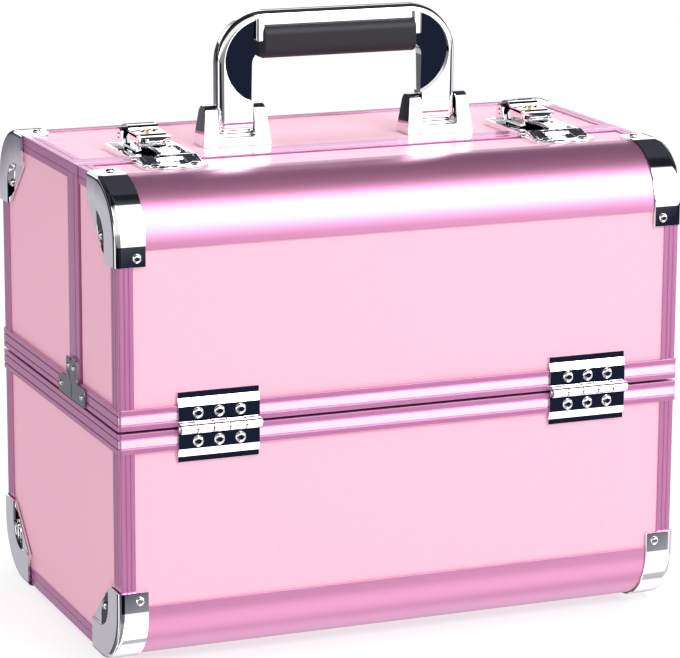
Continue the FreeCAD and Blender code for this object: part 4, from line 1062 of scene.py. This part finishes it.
# ---- latches
def lever_shape():
    """The lever at x 0: a hood over the pin, a plate for the key, a nose and flanged skirts."""
    low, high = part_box("right_latch_lever")
    plug_low, plug_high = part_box("right_lock_plug")
    flange, wall, nose_side = 2.4 * MM, 1.6 * MM, 0.6 * MM
    half = (high.x - low.x) / 2 - flange
    foot, front, hood_top = low.z, low.y, high.z
    top = hood_top - 2.0 * MM
    pivot_y, pivot_z = high.y - LATCH_BARREL, top - LATCH_BARREL
    hood_y, nose_y = pivot_y - 10.5 * MM, front + 9 * MM
    under, tip = top - 2.4 * MM, top - 3.0 * MM
    hood = [(hood_y, under)] + offsets((hood_y, hood_top), (0, -1.4), (1.4, -0.05), (5, 0))
    hood += offsets((pivot_y, hood_top), (-1.5, -0.1), (1.2, -0.8))
    hood += offsets((pivot_y, pivot_z), (3.4, 4.6), (4.7, 2.2))
    hood += arc((pivot_y, pivot_z), LATCH_BARREL, 0, -100, 10)
    plate = [(hood_y + MM, top)] + offsets((nose_y, top), (2.3, -0.7), (1.5, -1.5))
    plate += offsets((nose_y, under), (1.5, -0.7)) + [(hood_y + MM, under)]
    nose = offsets((nose_y, top), (1, -1.5), (0.4, -1.2), (-3.5, -1.2))
    nose += offsets((front, top), (3, -1.6), (1, -2.3)) + offsets((front, tip), (0, 0), (1.2, -0.4))
    nose += offsets((front, under), (4, -0.4)) + offsets((nose_y, under), (1, -0.4))

    hood = soften(length_of("hood", hood, -half, half), 0.12 * MM, angle=40)
    plate = soften(length_of("key_plate", plate, -half, half), 0.12 * MM, angle=50)
    key_y, key_radius = (plug_low.y + plug_high.y) / 2, (plug_high.y - plug_low.y) / 2 + 0.1 * MM
    cut(plate, rod("hole", (0, key_y, under - MM), (0, key_y, top + MM), key_radius))
    nose = length_of("nose", nose, -half - nose_side, half + nose_side)
    bow = 4 * MM                                    # the nose's front edge is an arc this high
    bow_radius = (half ** 2 + bow ** 2) / (2 * bow)
    cut(nose, rod("plan", (0, front + bow_radius, foot), (0, front + bow_radius, hood_top),
                  bow_radius, 96), operation="INTERSECT")
    pieces = [hood, plate, soften(nose, 0.35 * MM, segments=3)]
    for sign in ENDS:
        inside = sign * (half - wall)
        skirt = block("skirt", (sign * half, nose_y, foot), (inside, pivot_y, top - MM))
        ledge = block("flange", (sign * (half + flange), nose_y - 2 * MM, foot),
                      (inside, pivot_y - 8 * MM, foot + wall))
        pieces += [soften(skirt, 0.3 * MM), soften(ledge, 0.7 * MM, segments=4)]
    pin_y, pin_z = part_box("right_latch_claw")[1].y - 2.3 * MM, pivot_z - 1.2 * MM
    pieces.append(rod("cross_pin", (-half, pin_y, pin_z), (half, pin_y, pin_z), 1.2 * MM, 20))
    return joined("lever", pieces)


def base_shape(sizes):
    """The latch's base at x 0: a plate with a raised rim, two ears inside it and the pin."""
    low, high = largest_solid("latch_bases")
    lever_low, lever_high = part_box("right_latch_lever")
    half, ear, rim = (high.x - low.x) / 2, 2.4 * MM, 2.0 * MM
    pivot_y, pivot_z = high.y - LATCH_BARREL, high.z - LATCH_BARREL
    ear_out = (lever_high.x - lever_low.x) / 2 + 0.3 * MM
    top = TOP + 1.6 * MM
    plate = block("plate", (-half, REAR_SEAM, TOP - LEAF), (half, high.y, top))
    round_edges(plate, 3 * MM, 5, lambda e: along(e, Z_AXIS) and middle(e).y > 0)
    round_edges(plate, MM, 3, lambda e: along(e, Z_AXIS) and middle(e).y < 0)
    floor_area = half * (high.y - REAR_SEAM) / 3    # the rim's faces are smaller than this
    with shaping(plate):
        pick("faces", lambda f: f.normal.z > 0.9)
        bpy.ops.mesh.inset(thickness=rim, depth=0)
        pick("faces", lambda f: f.normal.z > 0.9 and f.calc_area() < floor_area)
        push((0, 0, 1.0 * MM))
        pick("faces", lambda f: f.normal.z > 0.9 and f.calc_area() > floor_area)
        bpy.ops.transform.rotate(value=sizes.plate_lean, orient_axis="X",
                                 center_override=(0, (REAR_SEAM + high.y) / 2, top))
    pieces = [soften(outward(plate), sizes.small_edge)]
    wall = [(pivot_y - 10 * MM, TOP), (pivot_y - 7 * MM, top + 3.0 * MM)]
    wall += arc((pivot_y, pivot_z), LATCH_BARREL, 165, 0, 14) + [(pivot_y + LATCH_BARREL, TOP)]
    for sign in ENDS:
        side = length_of("ear", wall, sign * ear_out, sign * (ear_out - ear))
        pieces.append(soften(side, sizes.small_edge))
    start = (-ear_out - 0.6 * MM, pivot_y, pivot_z)
    pieces.append(turned_pin("pin", start, -2 * start[0], 1.8 * MM, 1.5 * MM, 0.3 * MM))
    return joined("base", pieces)


def catch_shape(sizes):
    """The catch at x 0: a lobed plate with ramps, a lip for the claw and two side stops."""
    low, high = largest_solid("latch_catches")
    half, top = (high.x - low.x) / 2, low.z + 1.8 * MM
    front, back, lip_y = low.y, FRONT_SEAM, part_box("right_latch_claw")[0].y
    left = [(-half, back), (-half, front + 7 * MM), (-half + 8 * MM, front), (-3 * MM, front)]
    corners = left + [(0, front + 2 * MM)] + [(-x, y) for x, y in reversed(left)]
    outline = rounded(corners, [radius * MM for radius in (0, 6, 6, 2, 2, 2, 6, 6, 0)])
    plate = prism("catch", [(x, y, low.z) for x, y in outline], Z_AXIS * (top - low.z))
    pieces = [soften(plate, sizes.small_edge)]
    # where a ramp begins, its height, and where its crest and its end are
    outer_ramp = (front + 10 * MM, 2.9 * MM, back - 3 * MM, back - 0.8 * MM)
    middle_ramp = (front + 7 * MM, 1.6 * MM, lip_y - 1.2 * MM, lip_y)
    reach, gap, tongue = half - 4.5 * MM, 8.6 * MM, 7.6 * MM
    for start, end, (toe, lift, crest, heel) in (
            (-reach, -gap, outer_ramp), (gap, reach, outer_ramp), (-tongue, tongue, middle_ramp)):
        ramp = [(toe, top - 0.2 * MM), (toe, top + 0.25 * MM), (crest, top + lift),
                (heel, top - 0.2 * MM)]
        pieces.append(soften(length_of("ramp", ramp, start, end), 0.3 * MM, segments=3))
    lip = [(lip_y + 1.4 * MM, top)]
    lip += offsets((lip_y, high.z), (1.9, -0.6), (2.4, 0), (3.4, 0), (3.9, -0.6))
    lip += [(lip_y + 4.6 * MM, top)]
    pieces.append(soften(length_of("lip", lip, -8 * MM, 8 * MM), 0.25 * MM))
    stop = [(front + 12 * MM, top)] + offsets((back, high.z), (-6, 0.4), (-2, 0.4))
    stop += [(back - 0.6 * MM, top)]
    for sign in ENDS:
        bar = length_of("stop", stop, sign * (half - 2.2 * MM), sign * (half - 4.8 * MM))
        pieces.append(soften(bar, 0.5 * MM, segments=3))
    return joined("catch", pieces)


def lock_plug(name):
    """A latch's chrome flange and, inside it, the brass plug with its key slot."""
    low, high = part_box(f"{name}_lock_plug")
    radius, height = (high.y - low.y) / 2, high.z - low.z
    core, shoulder, dish = radius * 0.66, height - 0.9 * MM, height - 0.5 * MM
    centre = Vector(((low.x + high.x) / 2, (low.y + high.y) / 2, low.z))
    flange = [(core, 0), (radius, 0), (radius, shoulder), (core, shoulder)]
    flange = turned(f"{name}_plug_flange", flange, centre, Z_AXIS, 36)
    finish(flange, "chrome", f"{name}_lock_plug")
    profile = [(0, 0), (core, 0), (core, height - 0.2 * MM), (core - 0.2 * MM, height),
               (core - 0.8 * MM, height), (core - 1.0 * MM, dish), (0, dish)]
    plug = turned(f"{name}_key_plug", profile, centre, Z_AXIS, 36)
    face, half_slot = centre + Z_AXIS * height, Vector((0.4, 1.7, 2.0)) * MM
    cut(plug, block("key_slot", face - half_slot, face + half_slot))
    finish(plug, "brass", f"{name}_lock_plug")


class CASE_OT_latches(bpy.types.Operator):
    """Model the two draw latches with their key plugs, claws and catches"""
    bl_idname = "case.latches"
    bl_label = "Draw latches"

    def execute(self, context):
        sizes = context.scene.case_sizes
        lever, base, catch = lever_shape(), base_shape(sizes), catch_shape(sizes)
        places = []
        for name in ("left", "right"):
            low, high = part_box(f"{name}_latch_lever")
            places.append(Matrix.Translation(((low.x + high.x) / 2, 0, 0)))
            made = copy_of(lever, f"{name}_draw_lever", places[-1])
            finish(made, "chrome", f"{name}_latch_lever")
            claw = cad_copy(f"{name}_latch_claw", f"{name}_draw_claw")
            finish(soften(claw, 0.3 * MM, angle=40), "chrome", f"{name}_latch_claw")
            lock_plug(name)
        for node, piece, name in (("latch_bases", base, "latch_base_plates"),
                                  ("latch_catches", catch, "latch_catch_plates")):
            copies = [copy_of(piece, "copy", place) for place in places]
            finish(joined(name, copies), "chrome", node)
        for piece in (lever, base, catch):
            bpy.data.objects.remove(piece)
        return {"FINISHED"}


# ---- guide plates
class CASE_OT_guide_plates(bpy.types.Operator):
    """Model the T-shaped guide plates at the foot of the seam"""
    bl_idname = "case.guide_plates"
    bl_label = "Guide plates"

    def execute(self, context):
        low, high = max(solids_in("tee_plates"), key=lambda box: box[1].x)
        plate, leg, notch = 1.2 * MM, 9.5 * MM, 2.2 * MM
        centre, shoulder = REAR_SEAM + SEAM_WIDE / 2, low.z + 11 * MM
        face, back = high.x, high.x - plate
        corners = [(low.y, low.z), (high.y, low.z), (high.y, shoulder), (centre + leg, shoulder),
                   (centre + leg, high.z), (centre + notch, high.z), (centre, high.z - 2.4 * MM),
                   (centre - notch, high.z), (centre - leg, high.z), (centre - leg, shoulder),
                   (low.y, shoulder)]
        radii = [radius * MM for radius in (1.5, 1.5, 4, 3, 2, 1.5, 1.5, 1.5, 2, 3, 4)]
        body = length_of("guide", rounded(corners, radii, 4), back, face)
        seat = block("seat", (HALF_W - 0.2 * MM, REAR_SEAM + 0.5 * MM, low.z + 0.5 * MM),
                     (back + 0.1 * MM, centre + leg - 0.5 * MM, high.z - MM))
        parts = [soften(body, 0.3 * MM), soften(seat, 0.2 * MM)]
        stem, fork, left_tip, right_tip = map(Vector, offsets(
            (centre, low.z), (0, 1.5), (0, 10), (-5, 15.5), (5, 15.5)))
        for start, end in ((stem, fork), (fork, left_tip), (fork, right_tip)):
            run = (end - start).normalized() * 0.7 * MM
            side = Vector((-run.y, run.x))
            ridge = [start + side, start - side, end - side, end + run, end + side]
            crease = length_of("crease", ridge, face - 0.2 * MM, face + 0.3 * MM)
            with shaping(crease):
                pick("faces", lambda f: f.normal.x > 0.9)
                bpy.ops.mesh.inset(thickness=0.45 * MM, depth=0)
            parts.append(soften(crease, 0.2 * MM))
        right = joined("guide", parts)
        left = copy_of(right, "guide_copy", mirror(X_AXIS))
        finish(joined("seam_guide_plates", [right, left]), "steel", "tee_plates")
        return {"FINISHED"}


# ---- trays and what carries them
class CASE_OT_trays(bpy.types.Operator):
    """Model the trays, their dividers, bars and links"""
    bl_idname = "case.trays"
    bl_label = "Trays"

    def execute(self, context):
        for lid in ("front", "rear"):
            for part, made, edge, material in (
                    ("lower_tray", "lower_tray_moulding", 0.45, "tray"),
                    ("upper_tray", "upper_tray_moulding", 0.45, "tray"),
                    ("tray_dividers", "tray_partitions", 0.4, "tray"),
                    ("outer_bars", "outer_bars_flat", 0.2, "steel"),
                    ("inner_bars", "inner_bars_flat", 0.2, "steel"),
                    ("lid_links", "lid_links_flat", 0.2, "steel")):
                piece = cad_copy(f"{lid}_{part}", f"{lid}_{made}")
                finish(soften(piece, edge * MM, angle=40), material, f"{lid}_{part}")
        return {"FINISHED"}


class CASE_OT_feet_and_mat(bpy.types.Operator):
    """Model the feet and the floor mat"""
    bl_idname = "case.feet_and_mat"
    bl_label = "Feet and floor mat"

    def execute(self, context):
        feet = []
        dish = 0.5 * MM
        for low, high in solids_in("feet"):
            radius, height = (high.x - low.x) / 2, high.z - low.z
            profile = [(0, 0), (radius * 0.45, 0), (radius * 0.5, dish), (radius * 0.6, dish),
                       (radius * 0.66, 0), (radius - 1.4 * MM, 0), (radius - 0.8 * MM, dish),
                       (radius, height), (0, height)]
            centre = ((low.x + high.x) / 2, (low.y + high.y) / 2, low.z)
            feet.append(turned("foot", profile, centre, Z_AXIS, 36))
        finish(joined("rubber_feet", feet), "rubber", "feet")
        mat = block("foam_floor_mat", *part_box("floor_mat"))
        round_edges(mat, 6 * MM, 6, lambda e: along(e, Z_AXIS))
        finish(soften(mat, 0.5 * MM), "lining", "floor_mat")
        return {"FINISHED"}


# ---- stage
EVEN = 0.66                                         # strength of the light from all round
BRIGHTEST = 7.2                                     # strength of the brightest card
CAMERA_TURN = (-22.23, 13.16, 0.27)                 # degrees round from the front, up and of roll
CAMERA_PLACE = (-0.7317, -1.8003, 0.6189)
CAMERA_LENS = 173.327


def tones_round(tree, direction, forward, stops, full=1.0):
    """Tones round a plane, by the angle of a direction in it, from stops of (degrees, tone)."""
    angle = add_node(tree, "Math")
    angle.operation = "ARCTAN2"
    share = add_node(tree, "MapRange", From_Min=-math.pi, From_Max=math.pi)
    ring = add_node(tree, "ValToRGB")
    elements = ring.color_ramp.elements
    while len(elements) < len(stops):
        elements.new(0.5)
    for element, (degrees, tone) in zip(elements, stops):
        element.position = (degrees + 180) / 360
        element.color = (*(channel / full for channel in tone), 1)
    wire(tree, (*direction, angle, 0), (forward, "Value", angle, 1),
         (angle, "Value", share, "Value"), (share, "Result", ring, "Fac"))
    return ring


def world_light(scene):
    """Even light, white behind, and a studio of bright and dark cards that only reflections see."""
    world = scene.world = bpy.data.worlds.new("Studio")
    world.use_nodes = True
    tree = world.node_tree
    tree.nodes.clear()
    place, parts = add_node(tree, "TexCoord"), add_node(tree, "SeparateXYZ")
    forward = add_node(tree, "Math")
    forward.operation = "MULTIPLY"
    forward.inputs[1].default_value = -1
    wire(tree, (place, "Generated", parts, "Vector"), (parts, "Y", forward, 0))
    # bright and dark cards by the angle up from the front, with 90 degrees overhead
    dark = (0.012, 0.016, 0.035)
    cards = tones_round(tree, (parts, "Z"), forward, [
        (-180, (0.1, 0.1, 0.12)), (-171.4, (0.12, 0.12, 0.14)), (-169.9, (0.3, 0.28, 0.32)),
        (-168.8, (0.55, 0.53, 0.58)), (-150, (0.5, 0.48, 0.53)), (-90, (1.8, 1.74, 1.83)),
        (-38, (2.6, 2.5, 2.62)), (-33, (1.15, 1.11, 1.18)), (-21, (1.15, 1.11, 1.18)),
        (-18.4, dark), (-11.3, dark), (-10.85, (1.7,) * 3), (-4, (2.0,) * 3), (8, (2.8,) * 3),
        (14, (BRIGHTEST,) * 3), (55, (BRIGHTEST,) * 3), (67, (0.055, 0.057, 0.07)),
        (153, (0.045, 0.048, 0.06)), (157.5, (1.6,) * 3), (170.4, (1.6,) * 3),
        (171.2, (0.05, 0.05, 0.07))], BRIGHTEST)
    # the share of them that shows by the angle round from the front, with 90 degrees to the right
    shares = [(-180, 0.25), (-174, 0.25), (-168, 1), (-159, 1), (-154.5, 0.14), (-108, 0.2),
              (-98, 0.8), (-82, 0.8), (-68, 0.14), (10, 0.14), (16.5, 1), (46, 1), (56, 0.3),
              (78, 0.3), (95, 1)]
    flags = tones_round(tree, (parts, "X"), forward,
                        [(degrees, (share,) * 3) for degrees, share in shares])
    both = add_node(tree, "Mix", Factor=1.0)
    both.data_type, both.blend_type = "RGBA", "MULTIPLY"
    mirrors = add_node(tree, "Background", Strength=BRIGHTEST)
    even = add_node(tree, "Background", Color=(1, 1, 1, 1), Strength=EVEN)
    white = add_node(tree, "Background", Color=(1, 1, 1, 1))
    path, output = add_node(tree, "LightPath"), add_node(tree, "OutputWorld")
    glossy, camera = add_node(tree, "MixShader"), add_node(tree, "MixShader")
    wire(tree, (cards, "Color", both, "A"), (flags, "Color", both, "B"),
         (both, "Result", mirrors, "Color"), (path, "Is Glossy Ray", glossy, "Fac"),
         (even, "Background", glossy, 1), (mirrors, "Background", glossy, 2),
         (path, "Is Camera Ray", camera, "Fac"), (glossy, "Shader", camera, 1),
         (white, "Background", camera, 2), (camera, "Shader", output, "Surface"))


def floor_finish():
    """A pale floor that a camera sees as white and that keeps the shadow."""
    material = bpy.data.materials.new("Pale floor")
    material.use_nodes = True
    tree = material.node_tree
    tree.nodes.clear()
    matt = add_node(tree, "BsdfDiffuse", Color=(0.42, 0.42, 0.42, 1))
    glow = add_node(tree, "Emission", Strength=EVEN)
    both, output = add_node(tree, "AddShader"), add_node(tree, "OutputMaterial")
    wire(tree, (matt, "BSDF", both, 0), (glow, "Emission", both, 1),
         (both, "Shader", output, "Surface"))
    return material


class CASE_OT_stage(bpy.types.Operator):
    """Set the floor, the lights and the camera"""
    bl_idname = "case.stage"
    bl_label = "Stage"

    def execute(self, context):
        scene = context.scene
        scene.view_settings.view_transform = "Standard"
        bpy.ops.object.select_all(action="DESELECT")
        bpy.ops.mesh.primitive_circle_add(vertices=96, radius=1.6, fill_type="NGON")
        floor = bpy.context.object
        floor.name = "floor"
        floor.data.materials.append(floor_finish())
        floor.visible_glossy = False
        world_light(scene)
        for name, place, aim, width, energy in (
                ("key", (0.7, -1.6, 1.5), (0, 0, 0.15), 1.0, 22),
                ("top", (0.1, 0.1, 1.9), (0, 0, 0.2), 1.2, 12),
                ("fill", (-1.7, -0.2, 0.5), (0, 0, 0.14), 1.0, 1.6)):
            lamp = bpy.data.lights.new(name, "AREA")
            lamp.shape, lamp.size, lamp.energy = "DISK", width, energy
            holder = bpy.data.objects.new(name, lamp)
            scene.collection.objects.link(holder)
            holder.location = place
            holder.rotation_euler = (Vector(place) - Vector(aim)).to_track_quat("Z", "Y").to_euler()
            holder.visible_glossy = False
        azimuth, elevation, roll = (math.radians(angle) for angle in CAMERA_TURN)
        away = math.cos(elevation)
        back = Vector((math.sin(azimuth) * away, -math.cos(azimuth) * away, math.sin(elevation)))
        right = Vector((math.cos(azimuth), math.sin(azimuth), 0))
        up = back.cross(right)
        axes = (math.cos(roll) * right + math.sin(roll) * up,
                math.cos(roll) * up - math.sin(roll) * right, back)
        data = bpy.data.cameras.new("camera")
        data.lens, data.clip_start, data.clip_end = CAMERA_LENS, 0.01, 20
        camera = bpy.data.objects.new("camera", data)
        scene.collection.objects.link(camera)
        stand = Matrix.Translation(CAMERA_PLACE)
        camera.matrix_world = stand @ Matrix(axes).transposed().to_4x4()
        scene.camera = camera
        return {"FINISHED"}


class CASE_PT_panel(bpy.types.Panel):
    """Lists the steps, sizes and colours of the train case"""
    bl_label = "Train Case"
    bl_idname = "CASE_PT_panel"
    bl_space_type = "VIEW_3D"
    bl_region_type = "UI"
    bl_category = "Train Case"

    def draw(self, context):
        for step in STEPS:
            self.layout.operator(step.bl_idname)
        for group in (context.scene.case_sizes, context.scene.case_colours):
            for name in group.__annotations__:
                self.layout.prop(group, name)


STEPS = (CASE_OT_finishes, CASE_OT_boards, CASE_OT_curved_profiles, CASE_OT_trims, CASE_OT_rails,
         CASE_OT_seam_frame, CASE_OT_corner_caps, CASE_OT_rivets, CASE_OT_hinges, CASE_OT_handle,
         CASE_OT_brackets, CASE_OT_latches, CASE_OT_guide_plates, CASE_OT_trays,
         CASE_OT_feet_and_mat, CASE_OT_stage)
CLASSES = (CaseSizes, CaseColours) + STEPS + (CASE_PT_panel,)


def register():
    for each in CLASSES:
        bpy.utils.register_class(each)
    bpy.types.Scene.case_sizes = bpy.props.PointerProperty(type=CaseSizes)
    bpy.types.Scene.case_colours = bpy.props.PointerProperty(type=CaseColours)


def unregister():
    del bpy.types.Scene.case_colours
    del bpy.types.Scene.case_sizes
    for each in reversed(CLASSES):
        bpy.utils.unregister_class(each)


def main():
    register()
    for step in STEPS:
        getattr(bpy.ops.case, step.bl_idname.split(".")[1])()


if __name__ == "__main__":
    main()
